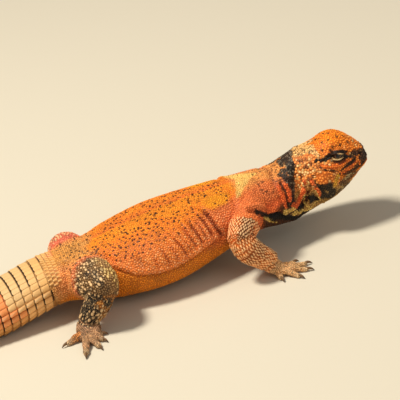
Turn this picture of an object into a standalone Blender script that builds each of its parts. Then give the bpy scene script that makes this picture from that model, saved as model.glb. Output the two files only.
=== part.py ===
"""A life-size spiny-tailed lizard, a uromastyx, resting with its chest raised and head turned.

Metres, +Z up, the lizard facing +X with its right side at -Y, resting on the ground at Z = 0. The
tables and functions below work in millimetres, in a frame whose origin is under the belly, and at
the end all is moved so that the origin is the middle of the lizard's box on the ground. One loft
runs from the tail's tip through the trunk to the nape and is parted across into lengths. The head
is a second loft in its own frame, turned to the right. Each limb is a row of bent tubes sunk in
the flank, and hands and feet are palms, digits and claws fused together.
"""

import math
import random

import bmesh
import bpy
import numpy as np
from mathutils import Euler, Vector

MM = 0.001
GAP = 0.3
BOX_MIDDLE = (-65.7, 0.8)
UP = Vector((0, 0, 1))
SIDES = 28
LIMB_SIDES = 12
DIGIT_SIDES = 7
CLAW_SIDES = 5
ROUND_END = ((0.36, 0.88), (0.62, 0.6))

# Trunk, from the vent forward: along, aside, height of the middle, half width, rise, drop
TRUNK = (
    (-90, 2.0, 20.0, 19.3, 13.4, 12.9),
    (-80, 1.2, 19.8, 21.5, 15.0, 14.4),
    (-68, 0.5, 19.2, 25.8, 17.4, 16.2),
    (-52, 0.0, 19.6, 31.2, 19.7, 17.7),
    (-30, 0.0, 21.4, 33.2, 21.0, 19.1),
    (-8, 0.0, 24.2, 29.8, 19.5, 17.2),
    (12, 0.0, 27.2, 24.6, 16.9, 15.8),
    (26, 0.0, 29.0, 21.0, 15.0, 16.6),
    (36, 0.0, 30.0, 18.8, 14.0, 19.6),
    (46, 0.2, 31.2, 17.2, 12.6, 22.2),
)
NECK_FROM = 36.0

# Tail, from the vent back: distance along it, half width, half height
TAIL = (
    (0, 19.3, 13.2),
    (20, 19.2, 13.6),
    (42, 18.4, 13.2),
    (72, 15.6, 11.2),
    (100, 12.0, 8.8),
    (122, 8.2, 6.2),
    (136, 4.8, 3.8),
    (142, 2.6, 2.2),
)
TAIL_HEADING = 178.0
TAIL_BEND = 26.0
TAIL_SETTLES = 46.0
FIRST_WHORL = 9.0
WHORL_LENGTH = 7.3
WHORL_SHRINK = 0.99
WHORL_COUNT = 20
WHORL_STEP = 0.9
TAIL_CUTS = (0, 5, 10, 15, 20)
SPINE_OUT = 1.5
SPINE_BACK = 1.9

# Head, from the occiput forward in its own frame: along, half width, top, bottom, narrowing
HEAD = (
    (-8, 15.4, 9.2, -30.6, 0.08),
    (-3, 16.6, 10.4, -28.0, 0.10),
    (3, 18.0, 12.6, -25.0, 0.12),
    (9, 18.2, 15.8, -23.0, 0.15),
    (15, 16.5, 16.6, -19.6, 0.18),
    (20, 14.2, 14.6, -15.9, 0.20),
    (25, 11.8, 11.0, -11.0, 0.20),
    (28.6, 9.6, 7.4, -7.5, 0.16),
    (31, 7.0, 3.8, -5.3, 0.10),
    (32.6, 3.4, 0.0, -3.4, 0.0),
)
HEAD_AT = (66.0, -0.3, 40.5)
HEAD_TURN = (-7.0, 1.0, -22.0)

# Soft swellings of the head, on both sides: middle, spread and height outward
RELIEF = (
    ((17.0, 13.0, 5.2), (4.4, 4.0, 4.0), 1.5),
    ((16.5, 10.5, 11.5), (6.0, 4.0, 2.6), 1.0),
    ((6.0, 17.0, -7.0), (6.5, 6.0, 6.5), 1.2),
    ((29.2, 6.2, 3.0), (2.0, 2.2, 1.8), 0.7),
    ((24.5, 9.5, 3.2), (3.0, 3.0, 2.6), -0.7),
    ((9.0, 16.5, 3.5), (3.0, 4.0, 3.0), -0.6),
)
EYE_AT = (17.0, 11.2, 5.2)
EYE_RADIUS = 3.5
LID_OPENING = (4.2, 5.0, 2.1)
EAR = ((1.5, 17.2, -3.0), (1.2, 2.4, 3.8))
NOSTRIL = ((29.4, 7.2, 3.0), (0.9, 1.4, 0.7))
MOUTH = (
    (40.0, -1.6),
    (32.0, -2.6),
    (28.0, -5.0),
    (22.5, -7.4),
    (17.5, -5.8),
    (12.0, -2.0),
    (8.8, -0.8),
    (6.0, -2.8),
    (3.6, -12.0),
    (1.0, -30.0),
)

# Limbs of the right side, from the body out: point, radius across, radius up and down
UPPER_ARM = (
    ((26, -10, 31.5), 8.6, 8.6),
    ((19, -23, 31), 8.4, 8.4),
    ((11, -33, 29.5), 8.0, 8.0),
    ((6, -40, 28), 6.6, 6.8),
)
FOREARM = (
    ((7, -38, 27), 7.2, 7.2),
    ((9, -41, 21), 7.8, 7.6),
    ((14, -40.5, 15), 7.0, 6.6),
    ((20, -40, 9), 6.4, 5.0),
)
HAND = (
    ((19, -39.5, 8.2), 6.2, 4.4),
    ((23.5, -42, 3.9), 7.4, 3.8),
    ((28, -45, 2.0), 6.4, 2.6),
)
HAND_ROOTS = ((27, -40.5), (28.5, -43), (29, -45.5), (27, -47.5), (22, -46))
HAND_CLAWS = ((38, -36), (43.5, -43), (41.5, -51.5), (33.5, -57.5), (22.5, -54))
THIGH = (
    ((-80.5, -5, 19), 12.0, 12.4),
    ((-77.5, -20, 24), 12.4, 13.0),
    ((-75.5, -32, 26.5), 11.4, 12.0),
    ((-74.5, -40, 25.5), 8.8, 9.4),
)
SHANK = (
    ((-76, -37, 24), 8.8, 8.8),
    ((-79, -38, 17.5), 7.9, 7.6),
    ((-84, -36.5, 11), 6.8, 6.2),
    ((-87.5, -36, 6.5), 6.0, 4.7),
)
FOOT = (
    ((-86.8, -35.5, 6.2), 6.4, 4.6),
    ((-89, -42, 3.4), 8.8, 3.8),
    ((-91, -49, 2.0), 8.0, 2.6),
)
FOOT_ROOTS = ((-84, -43.5), (-86, -47), (-89, -49), (-92.5, -49), (-95.5, -41.5))
FOOT_CLAWS = ((-79, -45.5), (-81.5, -54), (-86.5, -60.5), (-97, -64), (-105.5, -43.5))

# The left side, hidden behind the body: the same lengths in a lower, wider stance
LEFT_UPPER_ARM = (
    ((26, 10, 30), 8.6, 8.6),
    ((20, 22, 27), 8.4, 8.4),
    ((14, 31, 22.5), 7.8, 7.8),
    ((11, 37, 19.0), 6.6, 6.8),
)
LEFT_FOREARM = (
    ((11.5, 35, 19.5), 7.2, 7.0),
    ((14, 39.5, 15.5), 7.6, 7.2),
    ((21, 42.5, 11.5), 6.8, 6.2),
    ((29, 43.5, 8), 6.2, 4.8),
)
LEFT_HAND = (
    ((28, 43, 7.6), 6.2, 4.4),
    ((33, 45, 3.8), 7.4, 3.8),
    ((38, 46.5, 2.0), 6.4, 2.6),
)
LEFT_HAND_ROOTS = ((37, 42), (38.5, 44.5), (39, 47), (37, 49.5), (32, 49.5))
LEFT_HAND_CLAWS = ((46, 36.5), (52.5, 42.5), (53, 51), (47, 58.5), (35, 60))
LEFT_THIGH = (
    ((-81.0, 6, 19.5), 12.0, 12.2),
    ((-79.5, 18, 21.8), 12.2, 12.2),
    ((-79.5, 27, 21.4), 11.2, 11.2),
    ((-80.0, 34, 19.0), 8.8, 9.0),
)
LEFT_SHANK = (
    ((-80.0, 31.5, 19.0), 8.4, 8.4),
    ((-84, 35, 14.5), 7.8, 7.5),
    ((-90.5, 36.5, 9.5), 6.8, 6.2),
    ((-95.5, 38, 6.5), 6.0, 4.7),
)
LEFT_FOOT = (
    ((-94.6, 37.5, 6.2), 6.4, 4.6),
    ((-98, 43.5, 3.4), 8.6, 3.8),
    ((-101, 50, 2.0), 8.0, 2.6),
)
LEFT_FOOT_ROOTS = ((-94.5, 45.5), (-96.5, 48.5), (-99.5, 50.5), (-102.5, 50), (-104.5, 43))
LEFT_FOOT_CLAWS = ((-88.5, 51), (-92.5, 58.5), (-99, 64), (-110.5, 65.5), (-115.5, 46.5))

ORANGE = (0.72, 0.23, 0.08, 1.0)
SALMON = (0.70, 0.27, 0.16, 1.0)
VIVID = (0.80, 0.27, 0.06, 1.0)
CHARCOAL = (0.10, 0.07, 0.06, 1.0)
OLIVE = (0.20, 0.15, 0.10, 1.0)
TAN = (0.45, 0.28, 0.15, 1.0)
SAND = (0.62, 0.45, 0.27, 1.0)
DARK = (0.02, 0.015, 0.012, 1.0)


def catmull(rows, step):
    """Rows made finer by a smooth curve through them, with one about each step of travel."""
    rows = np.array(rows, float)
    ends = np.vstack([2 * rows[0] - rows[1], rows, 2 * rows[-1] - rows[-2]])
    fine = []
    for i in range(1, len(ends) - 2):
        a, b, c, d = ends[i - 1 : i + 3]
        count = max(1, round(np.linalg.norm((c - b)[:3]) / step))
        for t in np.arange(count) / count:
            line = 2 * b + (c - a) * t
            bend = (2 * a - 5 * b + 4 * c - d) * t**2
            twist = (3 * b - 3 * c + d - a) * t**3
            fine.append(0.5 * (line + bend + twist))
    fine.append(rows[-1])
    return np.array(fine)


def table_at(table, along):
    """A table's other columns at one place along its first."""
    fine = catmull(table, 1.0)
    return [float(np.interp(along, fine[:, 0], fine[:, i])) for i in range(1, fine.shape[1])]


def round_power(value, power):
    return math.copysign(abs(value) ** (2 / power), value)


def section(frame, half_width, rise, drop, power, narrowing=0.0, count=SIDES):
    """A rounded ring; the frame is its middle, its sideways and its upward direction."""
    middle, side, up = frame
    ring = []
    for k in range(count):
        turn = 2 * math.pi * k / count
        across = round_power(math.cos(turn), power)
        tall = round_power(math.sin(turn), power)
        width = half_width * (1 - narrowing * max(tall, 0.0))
        ring.append(middle + side * (width * across) + up * ((rise if tall > 0 else drop) * tall))
    return ring


def carried_frames(centres):
    """Frames carried along a bent path without twisting."""
    frames = []
    side = None
    for middle, tangent in zip(centres, np.gradient(np.array(centres, float), axis=0)):
        along = Vector(tangent).normalized()
        side = UP.cross(along) if side is None else side - along * side.dot(along)
        side = side.normalized()
        frames.append((Vector(middle), side, along.cross(side)))
    return frames


def loft(name, rings, collection):
    """A closed mesh through rings of equal count, with a fan over each end."""
    mesh = bpy.data.meshes.new(name)
    bm = bmesh.new()
    rows = [[bm.verts.new(point * MM) for point in ring] for ring in rings]
    for a, b in zip(rows, rows[1:]):
        for k in range(len(a)):
            j = (k + 1) % len(a)
            bm.faces.new((a[k], a[j], b[j]))
            bm.faces.new((a[k], b[j], b[k]))
    for row in (rows[0], rows[-1]):
        middle = bm.verts.new(sum((v.co for v in row), Vector()) / len(row))
        for k in range(len(row)):
            bm.faces.new((row[k], row[(k + 1) % len(row)], middle))
    bmesh.ops.recalc_face_normals(bm, faces=bm.faces)
    bm.to_mesh(mesh)
    bm.free()
    obj = bpy.data.objects.new(name, mesh)
    collection.objects.link(obj)
    return obj


def bake_modifiers(obj):
    """Replaces an object's mesh with what its modifiers make of it."""
    bpy.context.view_layer.update()
    graph = bpy.context.evaluated_depsgraph_get()
    mesh = bpy.data.meshes.new_from_object(obj.evaluated_get(graph))
    old = obj.data
    obj.modifiers.clear()
    obj.data = mesh
    bpy.data.meshes.remove(old)


def cut_away(obj, cutter):
    modifier = obj.modifiers.new("cut", "BOOLEAN")
    modifier.operation = "DIFFERENCE"
    modifier.object = cutter
    bake_modifiers(obj)


def fuse(obj, pieces):
    """Joins closed pieces to the object by one union, and removes them."""
    group = bpy.data.collections.new("pieces")
    bpy.context.scene.collection.children.link(group)
    for piece in pieces:
        for owner in piece.users_collection:
            owner.objects.unlink(piece)
        group.objects.link(piece)
    modifier = obj.modifiers.new("fuse", "BOOLEAN")
    modifier.operation = "UNION"
    modifier.operand_type = "COLLECTION"
    modifier.collection = group
    bake_modifiers(obj)
    for piece in pieces:
        bpy.data.objects.remove(piece)
    bpy.data.collections.remove(group)


def surfaces(bm):
    """The mesh's separate closed surfaces, as lists of faces."""
    left = set(bm.faces)
    found = []
    while left:
        queue = [left.pop()]
        group = []
        while queue:
            face = queue.pop()
            group.append(face)
            for edge in face.edges:
                for other in edge.link_faces:
                    if other in left:
                        left.discard(other)
                        queue.append(other)
        found.append(group)
    return found


def spread(group):
    """How large a surface is, as the diagonal of its box."""
    points = np.array([v.co for face in group for v in face.verts])
    return float(np.linalg.norm(points.max(0) - points.min(0)))


def keep_surface(obj, order=0):
    """Keeps one of the object's surfaces, counted from the largest, and tidies it."""
    bm = bmesh.new()
    bm.from_mesh(obj.data)
    bmesh.ops.remove_doubles(bm, verts=bm.verts, dist=0.000001)
    groups = sorted(surfaces(bm), key=spread, reverse=True)
    loose = [face for i, group in enumerate(groups) if i != order for face in group]
    bmesh.ops.delete(bm, geom=loose, context="FACES")
    bmesh.ops.dissolve_degenerate(bm, dist=0.000001, edges=bm.edges)
    bmesh.ops.triangulate(bm, faces=bm.faces)
    bmesh.ops.recalc_face_normals(bm, faces=bm.faces)
    bm.to_mesh(obj.data)
    bm.free()


def paint(obj, name, colour, roughness):
    material = bpy.data.materials.new(name)
    material.use_nodes = True
    shader = material.node_tree.nodes["Principled BSDF"]
    shader.inputs["Base Color"].default_value = colour
    shader.inputs["Roughness"].default_value = roughness
    shader.inputs["Metallic"].default_value = 0.0
    obj.data.materials.clear()
    obj.data.materials.append(material)
    obj.data.shade_smooth()
    obj.data.set_sharp_from_angle(angle=math.radians(40))


def on_ground(ring):
    return [Vector((p.x, p.y, max(p.z, 0.0))) for p in ring]


def tail_frame(distance):
    """The tail's frame and half sizes at a distance behind the vent."""
    width, height = table_at(TAIL, distance)
    start = math.radians(TAIL_HEADING)
    bend = math.radians(TAIL_BEND)
    length = TAIL[-1][0]
    heading = start + bend * distance / length
    radius = length / bend
    x = TRUNK[0][0] + radius * (math.sin(heading) - math.sin(start))
    y = TRUNK[0][1] - radius * (math.cos(heading) - math.cos(start))
    settled = min(1.0, distance / TAIL_SETTLES)
    settled = settled * settled * (3 - 2 * settled)
    z = TRUNK[0][2] * (1 - settled) + (height - 0.5) * settled
    along = Vector((math.cos(heading), math.sin(heading), 0))
    side = along.cross(UP)
    return (Vector((x, y, z)), side, UP), width, height


def tail_ring(distance, grow=0.0, out=0.0, back=0.0, vary=None):
    """One ring of the tail; out and back draw every other point into a spine."""
    frame, width, height = tail_frame(distance)
    ring = section(frame, width + grow, height + grow, height + grow, 2.3)
    middle, side, up = frame
    away = up.cross(side)
    shaped = []
    for k, point in enumerate(ring):
        turn = 2 * math.pi * k / len(ring)
        if out and k % 2 == 0:
            size = 0.62 + 0.38 * abs(math.cos(turn)) ** 3
            size *= min(1.0, max(0.08, 0.75 + 1.5 * math.sin(turn)))
            size *= vary.uniform(0.85, 1.15) if vary else 1.0
            size *= 0.45 + 0.55 * width / TAIL[0][1]
            outward = (point - middle).normalized()
            point = point + outward * (out * size) + away * (back * size)
        shaped.append(point)
    return on_ground(shaped)


def whorl_edges():
    edges = [FIRST_WHORL]
    for k in range(WHORL_COUNT):
        edges.append(edges[-1] + WHORL_LENGTH * WHORL_SHRINK**k)
    scale = (TAIL[-1][0] - 4.0 - FIRST_WHORL) / (edges[-1] - FIRST_WHORL)
    return [FIRST_WHORL + (edge - FIRST_WHORL) * scale for edge in edges]


def tail_length(name, first, last, collection):
    """Some whorls of the tail as one closed piece, each a step that ends in a row of spines."""
    vary = random.Random(40 + first)
    edges = whorl_edges()
    rings = []
    if first == 0:
        rings += [tail_ring(GAP), tail_ring(FIRST_WHORL * 0.5)]
    for k in range(first, last):
        front, rear = edges[k], edges[k + 1]
        length = rear - front
        low = -WHORL_STEP * (0.35 + 0.65 * tail_frame(front)[1] / TAIL[0][1])
        start = front + (GAP if k == first and k > 0 else 0.0)
        rings.append(tail_ring(start, low))
        rings.append(tail_ring(front + 0.42 * length, 0.0))
        rings.append(tail_ring(rear - 0.12 * length, 0.15, SPINE_OUT, SPINE_BACK, vary))
    if last < WHORL_COUNT:
        rings.append(tail_ring(edges[last], low))
    else:
        end = TAIL[-1][0]
        rings.append(tail_ring(end - 3.4, -1.2))
        rings.append(tail_ring(end - 1.6, -1.3))
        rings.append(tail_ring(end, -1.6))
    return loft(name, rings, collection)


def trunk_ring(along, grow=0.0):
    """One ring of the trunk, square to the path of the trunk's middle."""
    aside, height, half, rise, drop = table_at(TRUNK, along)
    before = table_at(TRUNK, along - 2.0)
    after = table_at(TRUNK, along + 2.0)
    forward = Vector((4.0, after[0] - before[0], after[1] - before[1])).normalized()
    side = UP.cross(forward).normalized()
    frame = (Vector((along, aside, height)), side, forward.cross(side))
    return section(frame, half + grow, rise + grow, drop + grow, 2.35)


def trunk_rings(start, end, grow=0.0):
    count = round((end - start) / 5.6)
    return [trunk_ring(start + (end - start) * i / count, grow) for i in range(count + 1)]


def head_frame():
    turn = Euler([math.radians(v) for v in HEAD_TURN])
    return Vector(HEAD_AT), turn


def head_ring(along):
    """One ring of the head in its own frame, with the swellings raised on it."""
    half, top, bottom, narrowing = table_at(HEAD, along)
    half_height = (top - bottom) / 2
    middle = Vector((along, 0, (top + bottom) / 2))
    frame = (middle, Vector((0, 1, 0)), UP)
    ring = section(frame, half, half_height, half_height, 2.6, narrowing)
    raised = []
    for point in ring:
        outward = (point - middle).normalized()
        lift = 0.0
        for (x, y, z), (sx, sy, sz), height in RELIEF:
            reach = ((point.x - x) / sx) ** 2 + ((abs(point.y) - y) / sy) ** 2
            lift += height * math.exp(-reach - ((point.z - z) / sz) ** 2)
        raised.append(point + outward * lift)
    return raised


def placed(ring):
    at, turn = head_frame()
    return [turn.to_matrix() @ point + at for point in ring]


def neck(collection):
    """From the shoulders to the nape, its last ring cut to match the head's first."""
    rings = trunk_rings(NECK_FROM + GAP, TRUNK[-1][0])
    nape = placed(head_ring(HEAD[0][0]))
    at, turn = head_frame()
    back = turn.to_matrix() @ Vector((-GAP, 0, 0))
    last = [point + back for point in nape]
    for t in (1 / 3, 2 / 3):
        rings.append([a.lerp(b, t) for a, b in zip(rings[-1], last)])
    rings.append(last)
    return loft("neck", rings, collection)


def ellipsoid(name, middle, radii, segments, rings, collection):
    bpy.ops.mesh.primitive_uv_sphere_add(segments=segments, ring_count=rings, radius=MM)
    obj = bpy.context.object
    obj.name = name
    obj.data.transform(obj.matrix_world)
    for vertex in obj.data.vertices:
        vertex.co = Vector([c * r for c, r in zip(vertex.co, radii)]) + Vector(middle) * MM
    for owner in obj.users_collection:
        owner.objects.unlink(obj)
    collection.objects.link(obj)
    return obj


def ribbon(name, path, thickness, reach, collection):
    """A thin curtain that follows a path in the head's middle plane and runs out both sides."""
    points = [Vector((x, z, 0)) for x, z in path]
    left, right = [], []
    for i, point in enumerate(points):
        before = points[max(i - 1, 0)]
        after = points[min(i + 1, len(points) - 1)]
        along = (after - before).normalized()
        normal = Vector((-along.y, along.x, 0)) * (thickness / 2)
        left.append(point + normal)
        right.append(point - normal)
    outline = left + right[::-1]
    curve = bpy.data.curves.new(name, "CURVE")
    curve.dimensions = "2D"
    curve.fill_mode = "BOTH"
    curve.extrude = reach * MM
    spline = curve.splines.new("POLY")
    spline.points.add(len(outline) - 1)
    spline.use_cyclic_u = True
    for knot, point in zip(spline.points, outline):
        knot.co = (point.x * MM, point.y * MM, 0, 1)
    drawn = bpy.data.objects.new(name + "_outline", curve)
    collection.objects.link(drawn)
    drawn.rotation_euler = (math.radians(90), 0, 0)
    bpy.context.view_layer.update()
    graph = bpy.context.evaluated_depsgraph_get()
    mesh = bpy.data.meshes.new_from_object(drawn.evaluated_get(graph))
    mesh.transform(drawn.matrix_world)
    bpy.data.objects.remove(drawn)
    bm = bmesh.new()
    bm.from_mesh(mesh)
    bmesh.ops.remove_doubles(bm, verts=bm.verts, dist=0.000001)
    bmesh.ops.recalc_face_normals(bm, faces=bm.faces)
    bm.to_mesh(mesh)
    bm.free()
    obj = bpy.data.objects.new(name, mesh)
    collection.objects.link(obj)
    return obj


def mirrored(middle, side):
    return (middle[0], middle[1] * side, middle[2])


def head_and_jaw(collection, cutters):
    """The head with sockets, lids, ears and nostrils, and the lower jaw parted at the mouth."""
    stations = catmull([row[:1] for row in HEAD], 2.0)[:, 0]
    head = loft("head", [head_ring(float(x)) for x in stations], collection)
    holes = []
    rims = []
    for side in (1, -1):
        eye = mirrored(EYE_AT, side)
        socket = EYE_RADIUS + GAP
        lids = (LID_OPENING[0] + 0.3, 2.0, LID_OPENING[2] + 0.8)
        rim_at = (eye[0], eye[1] + side * 2.6, eye[2])
        rims.append(ellipsoid("lids", rim_at, lids, 16, 8, collection))
        holes.append(ellipsoid("socket", eye, (socket,) * 3, 14, 8, cutters))
        slit_at = (eye[0], eye[1] + side * 3.6, eye[2])
        holes.append(ellipsoid("slit", slit_at, LID_OPENING, 16, 8, cutters))
        holes.append(ellipsoid("ear", mirrored(EAR[0], side), EAR[1], 10, 6, cutters))
        holes.append(ellipsoid("nostril", mirrored(NOSTRIL[0], side), NOSTRIL[1], 8, 6, cutters))
    fuse(head, rims)
    for hole in holes:
        cut_away(head, hole)
    keep_surface(head)
    mouth = ribbon("mouth", MOUTH, GAP, 30.0, cutters)
    cut_away(head, mouth)
    jaw = head.copy()
    jaw.data = head.data.copy()
    jaw.name = "lower_jaw"
    collection.objects.link(jaw)
    keep_surface(head, 0)
    keep_surface(jaw, 1)
    for cutter in holes + [mouth]:
        bpy.data.objects.remove(cutter)
    return head, jaw


def eyeball(name, side, collection):
    return ellipsoid(name, mirrored(EYE_AT, side), (EYE_RADIUS,) * 3, 14, 8, collection)


def tube(name, joints, collection, sides=LIMB_SIDES, step=4.6, grow=0.0, nose=ROUND_END):
    """A bent tube through joints, with a rounded far end."""
    rows = catmull([(*point, across, down) for point, across, down in joints], step)
    frames = carried_frames(rows[:, :3])
    middle, side, up = frames[0]
    frames[0] = (middle - side.cross(up) * grow, side, up)
    sizes = [(row[3] + grow, row[4] + grow) for row in rows]
    middle, side, up = frames[-1]
    across, down = sizes[-1]
    for further, shrink in nose:
        shift = side.cross(up) * (min(across, down) * further)
        frames.append((middle + shift, side, up))
        sizes.append((across * shrink, down * shrink))
    rings = []
    for frame, (across, down) in zip(frames, sizes):
        rings.append(section(frame, across, down, down, 2.0, 0.0, sides))
    return loft(name, rings, collection)


def digit(root, claw_tip, thick, collection):
    """A digit that arches down to the ground, and its claw."""
    start = Vector((*root, 0))
    reach = Vector((*claw_tip, 0)) - start
    length = reach.length
    along = reach / length
    bend = max(length - 4.2, length * 0.55)
    arch = ((0.0, 2.6, 1.15), (0.45, 2.8, 1.05), (0.8, 1.6, 0.85), (1.0, 1.2, 0.72))
    joints = []
    for part, height, size in arch:
        point = start + along * (bend * part) + UP * height
        joints.append((point, thick * size, thick * size * 0.95))
    finger = tube("digit", joints, collection, DIGIT_SIDES, 4.4, nose=((0.5, 0.7),))
    hook = ((-1.2, 1.6, 1.15), (0.8, 1.9, 1.05), (2.4, 1.5, 0.8), (4.0, 0.5, 0.3))
    joints = []
    for further, height, radius in hook:
        point = start + along * (bend + further) + UP * height
        joints.append((point, radius * 0.85, radius))
    claw = tube("claw", joints, collection, CLAW_SIDES, 3.0, nose=())
    return [finger, claw]


def paw(name, joints, roots, claws, thick, collection, floor):
    """A palm with five digits, cut level where it stands."""
    palm = tube(name, joints, collection, LIMB_SIDES, 4.0)
    pieces = []
    for root, claw in zip(roots, claws):
        pieces += digit(root, claw, thick, collection)
    fuse(palm, pieces)
    cut_away(palm, floor)
    keep_surface(palm)
    return palm


def limb(names, tables, roots, claws, thick, collection, guard, floor):
    """The three lengths of a limb, each cut clear of the body and of the length before it."""
    upper = tube(names[0], tables[0], collection)
    middle = tube(names[1], tables[1], collection)
    end = paw(names[2], tables[2], roots, claws, thick, collection, floor)
    around_upper = tube("around_upper", tables[0], collection, grow=GAP)
    around_middle = tube("around_middle", tables[1], collection, grow=GAP)
    cut_away(middle, around_upper)
    cut_away(end, around_middle)
    for piece in (upper, middle, end):
        cut_away(piece, guard)
        keep_surface(piece)
    bpy.data.objects.remove(around_upper)
    bpy.data.objects.remove(around_middle)
    return upper, middle, end


def ground_block(collection):
    bpy.ops.mesh.primitive_cube_add(size=0.5, location=(0, 0, -0.25))
    block = bpy.context.object
    block.name = "ground_block"
    for owner in block.users_collection:
        owner.objects.unlink(block)
    collection.objects.link(block)
    return block


def body_guard(collection):
    """The trunk and the tail's root grown by the gap, to cut the limbs clear of them."""
    rings = trunk_rings(TRUNK[0][0], TRUNK[-1][0], GAP)
    for distance in (6.0, 12.0, 20.0, 30.0):
        rings.insert(0, tail_ring(distance, GAP + 1.2))
    return loft("body_guard", rings, collection)


def new_collection(name):
    collection = bpy.data.collections.new(name)
    bpy.context.scene.collection.children.link(collection)
    return collection


def main():
    for obj in list(bpy.data.objects):
        bpy.data.objects.remove(obj)
    lizard = new_collection("uromastyx")
    cutters = new_collection("cutters")
    root = bpy.data.objects.new("lizard", None)
    root.location = Vector((-BOX_MIDDLE[0], -BOX_MIDDLE[1], 0)) * MM
    lizard.objects.link(root)

    torso = loft("torso", trunk_rings(TRUNK[0][0], NECK_FROM), lizard)
    paint(torso, "torso_skin", ORANGE, 0.7)
    nape = neck(lizard)
    paint(nape, "neck_skin", SALMON, 0.7)
    names = ("tail_base", "tail_middle", "tail_rear", "tail_tip")
    tails = []
    for name, first, last in zip(names, TAIL_CUTS, TAIL_CUTS[1:]):
        tails.append(tail_length(name, first, last, lizard))
        paint(tails[-1], name + "_scutes", SAND, 0.65)

    head, jaw = head_and_jaw(lizard, cutters)
    eyes = [eyeball("eye_left", 1, lizard), eyeball("eye_right", -1, lizard)]
    paint(head, "head_skin", VIVID, 0.65)
    paint(jaw, "jaw_skin", CHARCOAL, 0.65)
    for eye in eyes:
        paint(eye, eye.name + "_cornea", DARK, 0.05)
    at, turn = head_frame()
    for piece in [head, jaw, *eyes]:
        piece.location = at * MM
        piece.rotation_euler = turn

    floor = ground_block(cutters)
    guard = body_guard(cutters)
    arms = (
        ("right", (UPPER_ARM, FOREARM, HAND), HAND_ROOTS, HAND_CLAWS),
        ("left", (LEFT_UPPER_ARM, LEFT_FOREARM, LEFT_HAND), LEFT_HAND_ROOTS, LEFT_HAND_CLAWS),
    )
    legs = (
        ("right", (THIGH, SHANK, FOOT), FOOT_ROOTS, FOOT_CLAWS),
        ("left", (LEFT_THIGH, LEFT_SHANK, LEFT_FOOT), LEFT_FOOT_ROOTS, LEFT_FOOT_CLAWS),
    )
    limbs = []
    for label, tables, roots, claws in arms:
        names = [f"{part}_{label}" for part in ("upper_arm", "forearm", "hand")]
        pieces = limb(names, tables, roots, claws, 2.0, lizard, guard, floor)
        for piece, colour in zip(pieces, (SALMON, TAN, SAND)):
            paint(piece, piece.name + "_skin", colour, 0.7)
        limbs += pieces
    for label, tables, roots, claws in legs:
        names = [f"{part}_{label}" for part in ("thigh", "shank", "foot")]
        pieces = limb(names, tables, roots, claws, 2.3, lizard, guard, floor)
        for piece, colour in zip(pieces, (CHARCOAL, OLIVE, TAN)):
            paint(piece, piece.name + "_skin", colour, 0.7)
        limbs += pieces
    for cutter in (floor, guard):
        cutter.hide_render = True
        cutter.display_type = "WIRE"
    for piece in [torso, nape, head, jaw, *tails, *eyes, *limbs]:
        piece.parent = root


main()
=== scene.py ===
"""The looks of a life-size spiny-tailed lizard: one skin, its coats of scales, eyes and claws.

The tables are the part's own, in millimetres in its own frame, whose origin lies under the belly.
Paths are lofted, fused into one skin and creased by strokes, and the same paths say where on the
body a point lies, for its markings and for the rows of scales that are laid over it.
"""

import math

import bmesh
import bpy
import numpy as np
from mathutils import Euler, Matrix, Vector
from mathutils.bvhtree import BVHTree
from mathutils.kdtree import KDTree


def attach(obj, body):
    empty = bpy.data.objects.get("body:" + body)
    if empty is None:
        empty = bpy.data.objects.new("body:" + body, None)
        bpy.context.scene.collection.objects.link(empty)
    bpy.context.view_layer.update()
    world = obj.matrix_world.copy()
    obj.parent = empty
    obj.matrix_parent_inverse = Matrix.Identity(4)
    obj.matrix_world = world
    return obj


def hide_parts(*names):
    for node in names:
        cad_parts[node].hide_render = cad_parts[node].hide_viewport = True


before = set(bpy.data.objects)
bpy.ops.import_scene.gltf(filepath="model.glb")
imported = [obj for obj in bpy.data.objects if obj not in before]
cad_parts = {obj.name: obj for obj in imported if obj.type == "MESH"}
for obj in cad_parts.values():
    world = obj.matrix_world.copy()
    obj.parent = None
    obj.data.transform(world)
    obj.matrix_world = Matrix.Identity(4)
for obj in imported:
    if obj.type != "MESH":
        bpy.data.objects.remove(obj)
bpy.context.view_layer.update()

MM = 0.001
MODEL_AT = np.array((65.7, -0.8, 0.0))
UP = np.array((0.0, 0.0, 1.0))
SKIN_DEPTH = 0.35
DIGIT_SKIN_DEPTH = 0.15
VOXEL = 0.46
SKIN_TRIANGLES = 192000
FILL_TRIES = 420000
FLOOR_GAP = 0.12
POINTS_AT_ONCE = 20000

# Rough radii of neck and back, which turn an angle round them into a distance
NECK_RADIUS = 17.0
BACK_RADIUS = 26.0

# The photograph's view
CAMERA_AZIMUTH = -13.0
CAMERA_ELEVATION = 26.0
CAMERA_ROLL = 12.5
CAMERA_TARGET = np.array((65.7, -0.8, 25.0))
CAMERA_DISTANCE = 1100.0
FRAME_PIXELS = 400
TARGET_PIXEL = (208, 220)
MM_PER_PIXEL = 0.572

# Trunk, from the vent forward: along, aside, height of the middle, half width, rise, drop
TRUNK = (
    (-90, 2, 20, 19.3, 13.4, 12.9),
    (-80, 1.2, 19.8, 21.5, 15, 14.4),
    (-68, 0.5, 19.2, 25.8, 17.4, 16.2),
    (-52, 0, 19.6, 31.2, 19.7, 17.7),
    (-30, 0, 21.4, 33.2, 21, 19.1),
    (-8, 0, 24.2, 29.8, 19.5, 17.2),
    (12, 0, 27.2, 24.6, 16.9, 15.8),
    (26, 0, 29, 21, 15, 16.6),
    (36, 0, 30, 18.8, 14, 19.6),
    (46, 0.2, 31.2, 17.2, 12.6, 22.2),
)
NAPE_LENGTH = 13.0

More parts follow.
